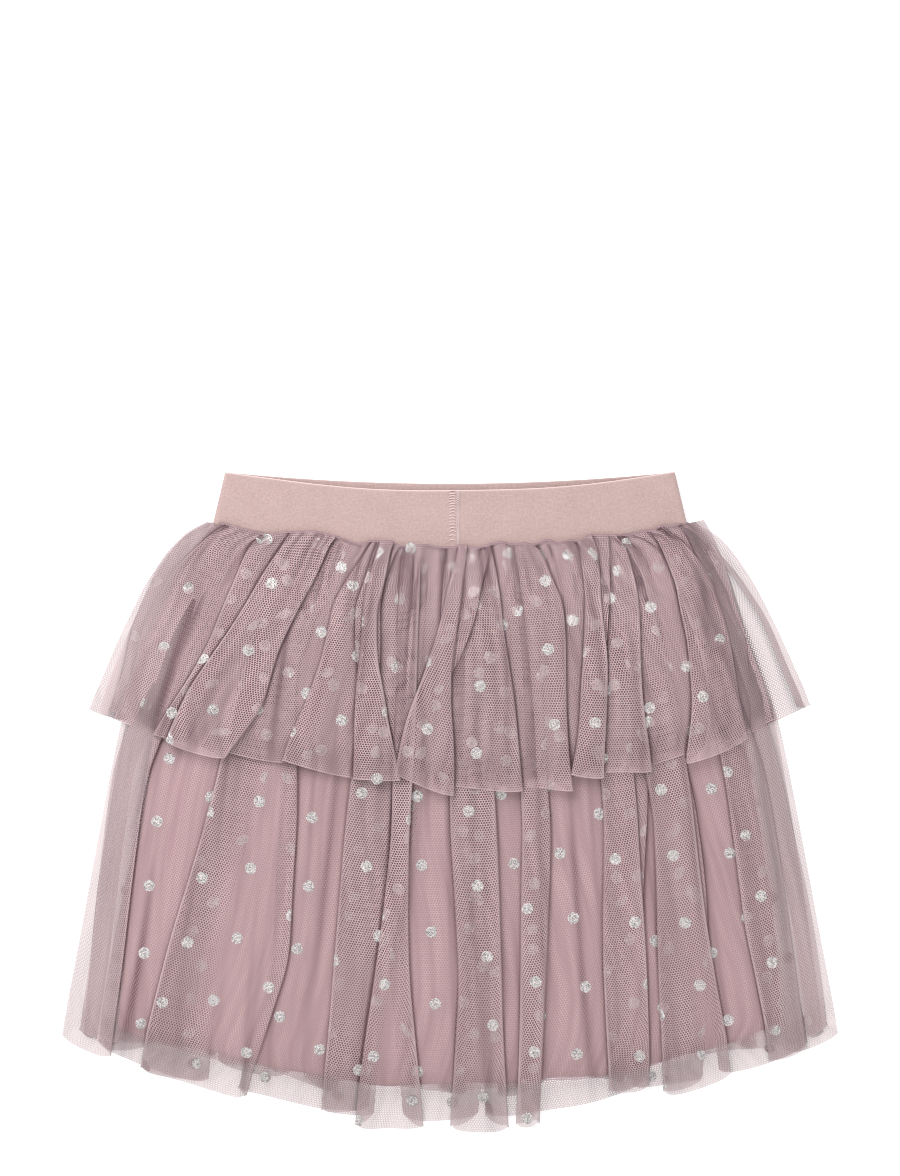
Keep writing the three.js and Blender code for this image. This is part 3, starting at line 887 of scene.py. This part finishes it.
def dot_centres(width, length, turn):
    """Places of the dots in the flat cloth: a half-drop lattice whose rows wander a little."""
    columns = int(width / 2 / DOT_COLUMN_PITCH)
    rows = int(length / DOT_ROW_PITCH) + 3
    for column in range(-columns, columns + 1):
        away = column * DOT_COLUMN_PITCH
        shift = DOT_ROW_PITCH / 2 if column % 2 else 0.0
        shift += DOT_DRIFT * (math.sin(FULL_TURN * away / DOT_DRIFT_LENGTH + turn) - 1) + DOT_FIRST_ROW
        for row in range(rows):
            down = row * DOT_ROW_PITCH + shift + random.uniform(-DOT_SCATTER, DOT_SCATTER)
            if -DOT_PAST_WAIST < down < length + DOT_RADIUS * DOT_PAST_HEM:
                yield away + random.uniform(-DOT_SCATTER, DOT_SCATTER), down


def round_dot(dot):
    """Makes a dot that doesn't reach round a fold lie as a round disc, whatever the gathers do."""
    middle_x, middle_y = dot[0][0], dot[0][1]
    for number, place in enumerate(dot[1:]):
        angle = FULL_TURN * (number % DOT_SIDES) / DOT_SIDES
        share = DOT_RINGS[1] if number < DOT_SIDES else random.uniform(*DOT_EDGE)
        place[0] = middle_x + DOT_RADIUS * share * math.cos(angle)
        place[1] = middle_y - DOT_RADIUS * share * math.sin(angle)


def dot_points(sheet, outward, middle_across, middle_down):
    """Points of one dot that lies on a sheet, with their map, and how far it faces outwards at least."""
    vertices, uvs, facing = [], [], []
    for share in DOT_RINGS:
        for side in range(DOT_SIDES if share else 1):
            angle = FULL_TURN * side / DOT_SIDES
            away = middle_across + DOT_RADIUS * share * math.cos(angle)
            down = middle_down + DOT_RADIUS * share * math.sin(angle)
            point, normal = on_sheet(*sheet, away, down)
            place = point + normal * (DOT_LIFT + (DOT_CROWN if share < 1 else 0.0))
            place[2] = max(place[2], DOT_LOWEST)
            facing.append(normal[2] * outward)
            vertices.append(place)
            uvs.append((away * MM, down * MM))
    return vertices, uvs, min(facing)


def dot_sheet(panel, points, across, below, turn):
    """All the glitter dots of a net panel, as one mesh of crumbly discs that follow the net."""
    sheet = (points, sheet_normals(points, panel.outward), across, below)
    width = NET_WIDTHS[panel.tier]
    reach = min(width / 2, float(across[-1, -1])) - DOT_RADIUS
    vertices, faces, uvs = [], [], []
    for middle_across, middle_down in dot_centres(width, LENGTHS[panel.tier], turn):
        if abs(middle_across) > reach:
            continue
        centre = on_sheet(*sheet, middle_across, middle_down)[0]
        if middle_down < DOT_FREE_CORNER and abs(centre[0]) > LIP_END - DOT_FREE_CORNER:
            continue
        start = len(vertices)
        dot, dot_uvs, facing = dot_points(sheet, panel.outward, middle_across, middle_down)
        if facing > DOT_LEAST_FACING:
            round_dot(dot)
        vertices += dot
        uvs += dot_uvs
        for side in range(DOT_SIDES):
            beside = (side + 1) % DOT_SIDES
            inner, inner_beside = start + 1 + side, start + 1 + beside
            faces.append((start, inner, inner_beside))
            faces.append((inner, inner + DOT_SIDES, inner_beside + DOT_SIDES, inner_beside))
    return mesh_object("glitter_" + panel.name, vertices, faces, uvs)


def lining_sheet(side):
    """One lining panel: a closed thin shell of jersey with long soft waves."""
    rows, columns = LINING_ROWS, LINING_COLUMNS
    place = np.linspace(-1, 1, columns)[None, :]
    below = np.linspace(0, LINING_LENGTH, rows)[:, None] + 0 * place
    x = along(below, "lining") * place
    share = below / LINING_LENGTH
    sign = 1 if side == "front" else -1
    raised = LINING_LIFT + 0 * place
    for wave in LINING_WAVES:
        phase = wave.phase + wave.by_side * sign + (wave.down + wave.down_by_side * sign) * share
        flatter = 1 - wave.flatter * smooth(share * 2)
        raised = raised + wave.depth * flatter * np.sin(FULL_TURN * wave.count * place + phase)
    for count, depth, lean in LINING_CREASES:
        crease = 1 - np.abs(np.sin(math.pi * (count * place + lean * share * sign) + count))
        raised = raised - depth * crease ** 4
    fade = smooth(share / LINING_FLAT_WAIST) * smooth((1 - np.abs(place)) / LINING_FLAT_SIDE)
    z = layer_height("lining_" + side, x, below) + LINING_GAP + raised * fade
    waves = [wave.size * np.sin(FULL_TURN * wave.count * place + wave.phase) for wave in LINING_HEM_WAVES]
    y = row_height(x, below) + sum(waves) * smooth((share - LINING_HEM_FROM) / (1 - LINING_HEM_FROM))
    top = np.stack([x, y, z + JERSEY], axis=-1).reshape(-1, 3)
    under = np.stack([x, y, z], axis=-1).reshape(-1, 3)
    faces = grid_faces(rows, columns)
    faces += grid_faces(rows, columns, start=rows * columns, flip=True)
    faces += rim_faces(rows, columns)
    uvs = np.concatenate([np.stack([x, below], axis=-1).reshape(-1, 2)] * 2) * MM
    return mesh_object("jersey_lining_" + side, np.concatenate([top, under]), faces, uvs)


def rim_faces(rows, columns):
    """Faces that join the borders of two grids of points, the second kept after the first."""
    border = [(0, column) for column in range(columns)]
    border += [(row, columns - 1) for row in range(1, rows)]
    border += [(rows - 1, column) for column in range(columns - 2, -1, -1)]
    border += [(row, 0) for row in range(rows - 2, 0, -1)]
    below = rows * columns
    faces = []
    for index, (row, column) in enumerate(border):
        next_row, next_column = border[(index + 1) % len(border)]
        a = row * columns + column
        b = next_row * columns + next_column
        faces.append((a, b, b + below, a + below))
    return faces


def bow(middle, corner, x, half):
    """A line that is `middle` high at x = 0 and `corner` high at the band's sides."""
    return middle + (corner - middle) * (x / half) ** 2


def band_half(share):
    """Half of the band's width at a share of its height."""
    return BAND_HALF_BOTTOM + (BAND_HALF_TOP - BAND_HALF_BOTTOM) * share


def band_depth(share):
    """How thick the laid band is at a share of its height."""
    return BAND_DEPTH_BOTTOM + (BAND_DEPTH_TOP - BAND_DEPTH_BOTTOM) * share


def band_wave(wave, x, share):
    """One small wave of the elastic."""
    return wave.size * np.sin(x / wave.length + wave.lean * share + wave.phase)


def band_outline(share):
    """x and z of the ring's middle line at a share of its height, with how far it is on the front."""
    half = band_half(share)
    radius = (band_depth(share) - BAND_WALL) / 2
    straight = np.linspace(-half + radius, half - radius, BAND_COLUMNS)
    turn = np.linspace(math.pi / 2, -math.pi / 2, BAND_FOLD_COLUMNS + 2)[1:-1]
    right_x = half - radius + radius * np.cos(turn)
    front = np.full(BAND_COLUMNS, 1.0)
    side = np.sin(turn)
    x = np.concatenate([straight, right_x, straight[::-1], -right_x[::-1]])
    level = np.concatenate([front, side, -front, side[::-1]])
    return x, radius * level + radius + BAND_WALL / 2, 0.5 + 0.5 * level


def band_row(share, out):
    """Points of one row round the band, moved out by `out` from the middle of its wall."""
    x, z, front = band_outline(share)
    along_x = np.roll(x, -1) - np.roll(x, 1)
    along_z = np.roll(z, -1) - np.roll(z, 1)
    size = np.hypot(along_x, along_z)
    half = band_half(share)
    bottom = bow(BAND_BOTTOM_MIDDLE, BAND_BOTTOM_CORNER, x, half)
    top_front = bow(BAND_FRONT_TOP, BAND_TOP_CORNER, x, half)
    top_back = bow(BAND_BACK_TOP, BAND_TOP_CORNER, x, half)
    top = front * (top_front + band_wave(BAND_TOP_WAVE, x, share)) + (1 - front) * top_back
    waves = sum(band_wave(wave, x, share) for wave in BAND_FACE_WAVES)
    waves = np.where(front > 0.5, waves, 0.0) * np.sin(math.pi * share)
    moved = (x - out * along_z / size, bottom + (top - bottom) * share, z + out * along_x / size + waves)
    return np.stack(moved, axis=-1)


def waistband():
    """The band: a closed ring of elastic with rounded top and bottom edges, and a painted highlight along
    its top edge.
    """
    shares = np.append(np.linspace(0, 0.96, BAND_ROWS - 2), BAND_LAST_SHARES)
    outside = [(share, 1.0) for share in shares]
    inside_rows = [(share, -1.0) for share in shares[::-1]]
    places = [*outside, *BAND_TOP_ROWS, *inside_rows]
    rows = [band_row(share, BAND_WALL / 2 * part) for share, part in places]
    count = rows[0].shape[0]
    lengths = np.linalg.norm(np.diff(rows[0], axis=0), axis=1)
    round_distance = np.concatenate([[0], np.cumsum(lengths)]) * MM
    uvs = [(distance, share * BAND_CUT[1]) for share, part in places for distance in round_distance]
    # Painted highlight along the top edge, on the outside rows and the top rows
    rim = [smooth((share - BAND_HIGHLIGHT_FROM) / (1 - BAND_HIGHLIGHT_FROM)) for share, part in places]
    rim[BAND_ROWS + 2:] = [0.0] * (BAND_ROWS + 1)
    states = [(strength, 0.0, 0.0, 0.0) for strength in rim for column in range(count)]
    faces = grid_faces(len(rows), count, closed=True, flip=True)
    last = (len(rows) - 1) * count
    for column in range(count):
        beside = (column + 1) % count
        faces.append((last + column, last + beside, beside, column))
    return mesh_object("elastic_waistband", np.concatenate(rows), faces, uvs, states)


def band_face(x, share):
    """y and z of a point on the outer face of the band's front."""
    half = band_half(share)
    bottom = bow(BAND_BOTTOM_MIDDLE, BAND_BOTTOM_CORNER, x, half)
    top = bow(BAND_FRONT_TOP, BAND_TOP_CORNER, x, half)
    return bottom + (top - bottom) * share, band_depth(share)


def thread_tube(points, radius, vertices, faces, uvs):
    """Adds a tube of thread along points to lists of vertices and faces, closed at both ends."""
    path = np.asarray(points, float)
    directions = np.gradient(path, axis=0)
    directions /= np.linalg.norm(directions, axis=1, keepdims=True)
    start = len(vertices)
    for index, (point, direction) in enumerate(zip(path, directions)):
        aside = np.cross(direction, (0.0, 0.0, 1.0))
        aside /= max(np.linalg.norm(aside), 1e-9)
        above = np.cross(aside, direction)
        size = radius * (THREAD_END if index in (0, len(path) - 1) else 1.0)
        for side in range(THREAD_SIDES):
            angle = FULL_TURN * side / THREAD_SIDES
            vertices.append(point + size * (aside * math.cos(angle) + above * math.sin(angle)))
            uvs.append((index * THREAD_MAP[0], side * THREAD_MAP[1]))
    faces.extend(grid_faces(len(path), THREAD_SIDES, start=start, closed=True))
    faces.append(tuple(range(start, start + THREAD_SIDES)))
    faces.append(tuple(reversed(range(len(vertices) - THREAD_SIDES, len(vertices)))))


def seam_ridge():
    """The soft ridge of the band's overlapped join, under its stitches."""
    points, uvs = [], []
    for is_top in (1, 0):
        for row, share in enumerate(np.linspace(*SEAM_SHARES, SEAM_ROWS)):
            middle = SEAM_MIDDLE + SEAM_SWING * math.sin(row * SEAM_SWING_TURN)
            for column, place in enumerate(np.linspace(-1, 1, SEAM_COLUMNS)):
                x = middle + SEAM_HALF_WIDTH * place
                y, face = band_face(x, share)
                grain = SEAM_GRAIN * math.sin(row * SEAM_GRAIN_TURN + column)
                crown = SEAM_HEIGHT * (1 - place ** 2) ** 1.5 + grain
                points.append((x, y, face - SEAM_SUNK + is_top * max(crown + SEAM_SUNK, SEAM_LEAST)))
                uvs.append((x * MM, y * MM))
    faces = grid_faces(SEAM_ROWS, SEAM_COLUMNS, flip=True)
    faces += grid_faces(SEAM_ROWS, SEAM_COLUMNS, start=SEAM_ROWS * SEAM_COLUMNS)
    faces += [tuple(reversed(face)) for face in rim_faces(SEAM_ROWS, SEAM_COLUMNS)]
    return mesh_object("seam_ridge", points, faces, uvs)


def seam_stitches():
    """Overlock stitches: short bars to the left, and two looped lines to the right."""
    vertices, faces, uvs = [], [], []
    first, last = BAR_SHARES
    for bar in range(BAR_COUNT):
        share = first + (last - first) * (bar / (BAR_COUNT - 1)) ** BAR_CLOSER
        slant = random.uniform(*BAR_SLANTS)
        points = []
        for part in np.linspace(0, 1, BAR_STEPS):
            away = BAR_LEFT + (BAR_RIGHT - BAR_LEFT) * part + random.uniform(-BAR_SCATTER, BAR_SCATTER)
            y, face = band_face(SEAM_MIDDLE + away, share + slant * math.sin(math.pi * part))
            points.append((SEAM_MIDDLE + away, y, face + BAR_HEIGHT - BAR_SAG * abs(2 * part - 1) ** 3))
        thread_tube(points, BAR_RADIUS, vertices, faces, uvs)
    for offset, turn in LOOP_LINES:
        points = []
        for step, share in enumerate(np.linspace(*LOOP_SHARES, LOOP_STEPS)):
            x = SEAM_MIDDLE + offset + LOOP_SWING * math.sin(step * LOOP_TURN + turn)
            y, face = band_face(x, share)
            points.append((x, y, face + LOOP_HEIGHT + LOOP_RISE * math.cos(2 * step * LOOP_TURN)))
        thread_tube(points, LOOP_RADIUS, vertices, faces, uvs)
    return mesh_object("seam_stitches", vertices, faces, uvs)


class Nodes:
    """Short calls for building a material's node tree."""

    def __init__(self, name):
        self.material = bpy.data.materials.new(name)
        self.material.use_nodes = True
        self.tree = self.material.node_tree

    def add(self, kind, inputs=None, **settings):
        """Adds a node. inputs maps socket names or numbers to values or to other nodes' sockets."""
        node = self.tree.nodes.new(kind)
        for name, value in settings.items():
            setattr(node, name, value)
        return self.set(node, inputs or {})

    def set(self, node, inputs):
        """Sets a node's sockets to values, or links other nodes' sockets to them."""
        for name, value in inputs.items():
            if isinstance(value, bpy.types.NodeSocket):
                self.tree.links.new(value, node.inputs[name])
            else:
                node.inputs[name].default_value = value
        return node

    def surface(self, inputs):
        """Sets the shader's sockets, and returns the finished material."""
        self.set(self.tree.nodes["Principled BSDF"], inputs)
        return self.material

    def vector(self, operation, first, second=(0, 0, 0)):
        """A vector calculation's result."""
        node = self.add("ShaderNodeVectorMath", {0: first, 1: second}, operation=operation)
        return node.outputs["Value" if operation == "DOT_PRODUCT" else "Vector"]

    def number(self, operation, first, second, third=0.0):
        """A calculation's result."""
        return self.add("ShaderNodeMath", {0: first, 1: second, 2: third}, operation=operation).outputs[0]

    def times(self, first, second):
        """A product."""
        return self.number("MULTIPLY", first, second)

    def plus(self, first, second):
        """A sum."""
        return self.number("ADD", first, second)

    def blend(self, share, first, second):
        """A mix of two colours."""
        node = self.add("ShaderNodeMix", data_type="RGBA")
        return self.set(node, {"Factor": share, 6: first, 7: second}).outputs[2]

    def cloth_place(self, scale):
        """The place in the flat cloth, from the mesh's own map, in steps of 1/scale metres."""
        place = self.add("ShaderNodeUVMap", uv_map="cloth").outputs["UV"]
        scaled = self.add("ShaderNodeVectorMath", {0: place, "Scale": scale}, operation="SCALE")
        return scaled.outputs["Vector"]

    def noise(self, place, scale, detail):
        """Even noise about 0.5."""
        made = self.add("ShaderNodeTexNoise", {"Vector": place, "Scale": scale, "Detail": detail})
        return made.outputs["Fac"]

    def state(self):
        """What the mesh says of each point's cloth."""
        return self.add("ShaderNodeAttribute", attribute_name="state").outputs

    def bump(self, height, strength, distance, invert=False):
        """The tilt that a height gives the surface. distance is in metres."""
        inputs = {"Height": height, "Strength": strength, "Distance": distance}
        return self.add("ShaderNodeBump", inputs, invert=invert).outputs["Normal"]


def colour(values):
    """A linear colour as a shader value."""
    return (*values, 1.0)


def hexagon_distance(nodes, place):
    """Distance from the middle of a hexagonal hole: 0.5 at the thread's middle line."""
    tall = math.sqrt(3.0)
    half = (0.5, tall / 2, 0.0)
    choices = []
    for start in (place, nodes.vector("ADD", place, half)):
        choices.append(nodes.vector("SUBTRACT", nodes.vector("MODULO", start, (1.0, tall, 1.0)), half))
    first, second = choices
    lengths = [nodes.vector("DOT_PRODUCT", choice, choice) for choice in choices]
    mixed = nodes.add("ShaderNodeMix", data_type="VECTOR")
    nodes.set(mixed, {"Factor": nodes.number("LESS_THAN", *lengths), 4: second, 5: first})
    side = nodes.vector("ABSOLUTE", mixed.outputs[1])
    flat = nodes.vector("DOT_PRODUCT", side, (1.0, 0.0, 0.0))
    return nodes.number("MAXIMUM", flat, nodes.vector("DOT_PRODUCT", side, half))


def net_material():
    """Soft tulle: mauve thread round hexagonal holes that are open."""
    nodes = Nodes("soft_tulle")
    place = nodes.cloth_place(1000 / NET_PITCH)
    distance = hexagon_distance(nodes, nodes.vector("ADD", place, MESH_START))
    state = nodes.state()
    parts = nodes.add("ShaderNodeSeparateXYZ", {"Vector": state["Vector"]}).outputs
    cover_and_shade, dense, pale = parts["X"], parts["Y"], parts["Z"]
    veil = state["Alpha"]
    streaks = nodes.noise(nodes.vector("MULTIPLY", place, STREAK_SHAPE), 1.0, 3.0)
    closer = nodes.times(nodes.plus(dense, nodes.times(pale, PALE_DENSE)), EDGE_THREAD)
    width = nodes.plus(closer, NET_THREAD - STREAK_THREAD / 2)
    width = nodes.plus(width, nodes.times(streaks, STREAK_THREAD))
    thread = nodes.number("GREATER_THAN", distance, nodes.number("MULTIPLY_ADD", width, -0.5, 0.5))
    cover = nodes.number("MULTIPLY_ADD", thread, THREAD_COVER - HOLE_COVER, HOLE_COVER)
    veiled = nodes.times(veil, VEIL_SOFTNESS)
    cover = nodes.number("MULTIPLY_ADD", nodes.number("SUBTRACT", VEIL_COVER, cover), veiled, cover)
    left_over = nodes.number("MAXIMUM", nodes.number("MULTIPLY_ADD", dense, TUCK_CLEAR, 1.0), 0.0)
    cover = nodes.times(cover, nodes.number("MINIMUM", left_over, 1.0))
    shade = nodes.number("MULTIPLY_ADD", streaks, *STREAK_SHADE)
    base = nodes.blend(nodes.number("MINIMUM", shade, 1.0), colour(NET_SHADE), colour(NET_COLOUR))
    # Painted shade: covered, creased and steep net is blended towards a dark shade colour
    shade_share = nodes.number("MINIMUM", nodes.times(cover_and_shade, PAINTED_SHADE_SHARE), 1.0)
    base = nodes.blend(shade_share, base, colour(NET_PAINTED_SHADE))
    base = nodes.blend(nodes.times(pale, PALE_SHARE), base, colour(NET_PALE))
    base = nodes.blend(nodes.times(veiled, GREY_SHARE), base, colour(NET_GREY))
    return nodes.surface({"Base Color": base, "Alpha": cover, "Roughness": 0.6, "Specular IOR Level": 0.35})


def glitter_material():
    """Silver glitter: small flakes of uneven tilt, whose uneven brightness is painted glints."""
    nodes = Nodes("silver_glitter")
    flakes = nodes.add("ShaderNodeTexVoronoi", {"Vector": nodes.cloth_place(1000.0), "Scale": FLAKE_SCALE})
    grey = nodes.vector("DOT_PRODUCT", flakes.outputs["Color"], (0.5, 0.3, 0.2))
    ramp = nodes.add("ShaderNodeValToRGB", {"Fac": grey})
    for stop, (position, tone) in zip(ramp.color_ramp.elements, GLITTER_GLINT_STOPS):
        stop.position = position
        stop.color = colour(tone)
    return nodes.surface({
        "Base Color": ramp.outputs["Color"], "Normal": nodes.bump(grey, 0.6, 0.0003),
        "Metallic": 0.2, "Roughness": 0.45,
    })


def knit_material(knit):
    """Fine knit: small uneven loops with mottled colour, for jersey and elastic."""
    nodes = Nodes(knit.name)
    place = nodes.cloth_place(1000 / knit.pitch)
    loops = nodes.add("ShaderNodeTexVoronoi", {"Vector": place, "Scale": 1.0, "Randomness": LOOP_UNEVEN})
    loops = loops.outputs["Distance"]
    mottles = [nodes.times(nodes.noise(place, row.scale, row.detail), row.share) for row in KNIT_MOTTLES]
    share = nodes.number("SUBTRACT", nodes.plus(*mottles), nodes.times(loops, LOOP_SHADE))
    base = nodes.blend(share, colour(knit.dark), colour(knit.light))
    # Painted highlight where the mesh marks the band's top edge
    base = nodes.blend(nodes.times(nodes.state()["Fac"], BAND_HIGHLIGHT_SHARE), base, colour(BAND_HIGHLIGHT))
    return nodes.surface({
        "Base Color": base, "Normal": nodes.bump(loops, knit.relief, 0.0004, invert=True),
        "Roughness": knit.roughness, "Specular IOR Level": 0.25, "Sheen Weight": 0.15,
    })


def thread_material():
    """Twisted sewing thread, a little lighter than the band."""
    nodes = Nodes("seam_thread")
    wave = {"Vector": nodes.cloth_place(1000.0), "Scale": 1.4, "Distortion": 0.8}
    twist = nodes.add("ShaderNodeTexWave", wave).outputs["Fac"]
    base = nodes.blend(twist, colour(THREAD_SHADE), colour(THREAD_COLOUR))
    return nodes.surface({"Base Color": base, "Normal": nodes.bump(twist, 0.3, 0.0002), "Roughness": 0.55})


def floor_material():
    """Even pale ground, which glows a little so that it stays white under the net."""
    return Nodes("pale_floor").surface({
        "Base Color": colour(FLOOR_COLOUR), "Emission Color": colour(WHITE),
        "Emission Strength": FLOOR_GLOW, "Roughness": 0.9, "Specular IOR Level": 0.1,
    })


def add_camera():
    """A long lens looking straight down, so that the frame shows what the photograph does."""
    distance = PHOTO_HEIGHT * PHOTO_SCALE * LENS / SENSOR
    data = bpy.data.cameras.new("camera")
    data.lens = LENS
    data.sensor_width = SENSOR
    data.sensor_fit = "AUTO"
    data.clip_start = 0.01
    camera = bpy.data.objects.new("camera", data)
    camera.location = (0.0, CAMERA_MIDDLE_Y * MM, (distance + SKIRT_FACE) * MM)
    bpy.context.scene.collection.objects.link(camera)
    bpy.context.scene.camera = camera


def add_light(name, place, size, power):
    """A large soft square light that faces the skirt."""
    data = bpy.data.lights.new(name, "AREA")
    data.size = size
    data.energy = power
    light = bpy.data.objects.new(name, data)
    light.location = place
    x, y, z = place
    light.rotation_euler = (math.atan2(math.hypot(x, y), z), 0.0, math.pi - math.atan2(-x, y))
    bpy.context.scene.collection.objects.link(light)


def add_studio():
    """A pale floor, an even pale surround and soft lights from the top of the picture."""
    corners = [(x * FLOOR_HALF, y * FLOOR_HALF, FLOOR_TOP) for x, y in ((-1, -1), (1, -1), (1, 1), (-1, 1))]
    floor = mesh_object("floor", corners, [(0, 1, 2, 3)])
    floor.data.materials.append(floor_material())
    world = bpy.data.worlds.new("studio")
    world.use_nodes = True
    background = world.node_tree.nodes["Background"]
    background.inputs["Color"].default_value = colour(WHITE)
    background.inputs["Strength"].default_value = SURROUND
    bpy.context.scene.world = world
    for light in LIGHTS:
        add_light(*light)


def set_render_depth():
    """Lets light through every layer of net, with few bounces after that."""
    scene = bpy.context.scene
    scene.view_settings.view_transform = "Standard"
    scene.cycles.transparent_max_bounces = 28
    scene.cycles.max_bounces = 4
    scene.cycles.diffuse_bounces = 2
    scene.cycles.glossy_bounces = 1
    scene.cycles.filter_width = 0.9


def finish_piece(piece, node, material):
    """Gives a piece its material and body, and hides the CAD node that it stands for."""
    piece.data.materials.append(material)
    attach(piece, "root")
    if node:
        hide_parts(node)
    return piece


def build_net(material, glitter):
    """The four net panels with their dots."""
    for number, panel in enumerate(NET_PANELS):
        sheet, points, across, below = net_sheet(panel)
        dots = dot_sheet(panel, points, across, below, DOT_TURN * number)
        finish_piece(sheet, panel.name, material)
        finish_piece(dots, None, glitter)


def build_lining(material):
    """The two lining panels."""
    for side, under in (("back", "lower_tier_back"), ("front", "lining_back")):
        lining = finish_piece(lining_sheet(side), "lining_" + side, material)


def build_band(elastic, thread):
    """The waistband, with its join and stitches."""
    band = finish_piece(waistband(), "waistband", elastic)
    ridge = finish_piece(seam_ridge(), None, elastic)
    stitches = finish_piece(seam_stitches(), "waistband_seam", thread)


random.seed(RANDOM_SEED)
set_render_depth()
add_camera()
add_studio()
build_net(net_material(), glitter_material())
build_lining(knit_material(JERSEY_KNIT))
build_band(knit_material(ELASTIC_KNIT), thread_material())
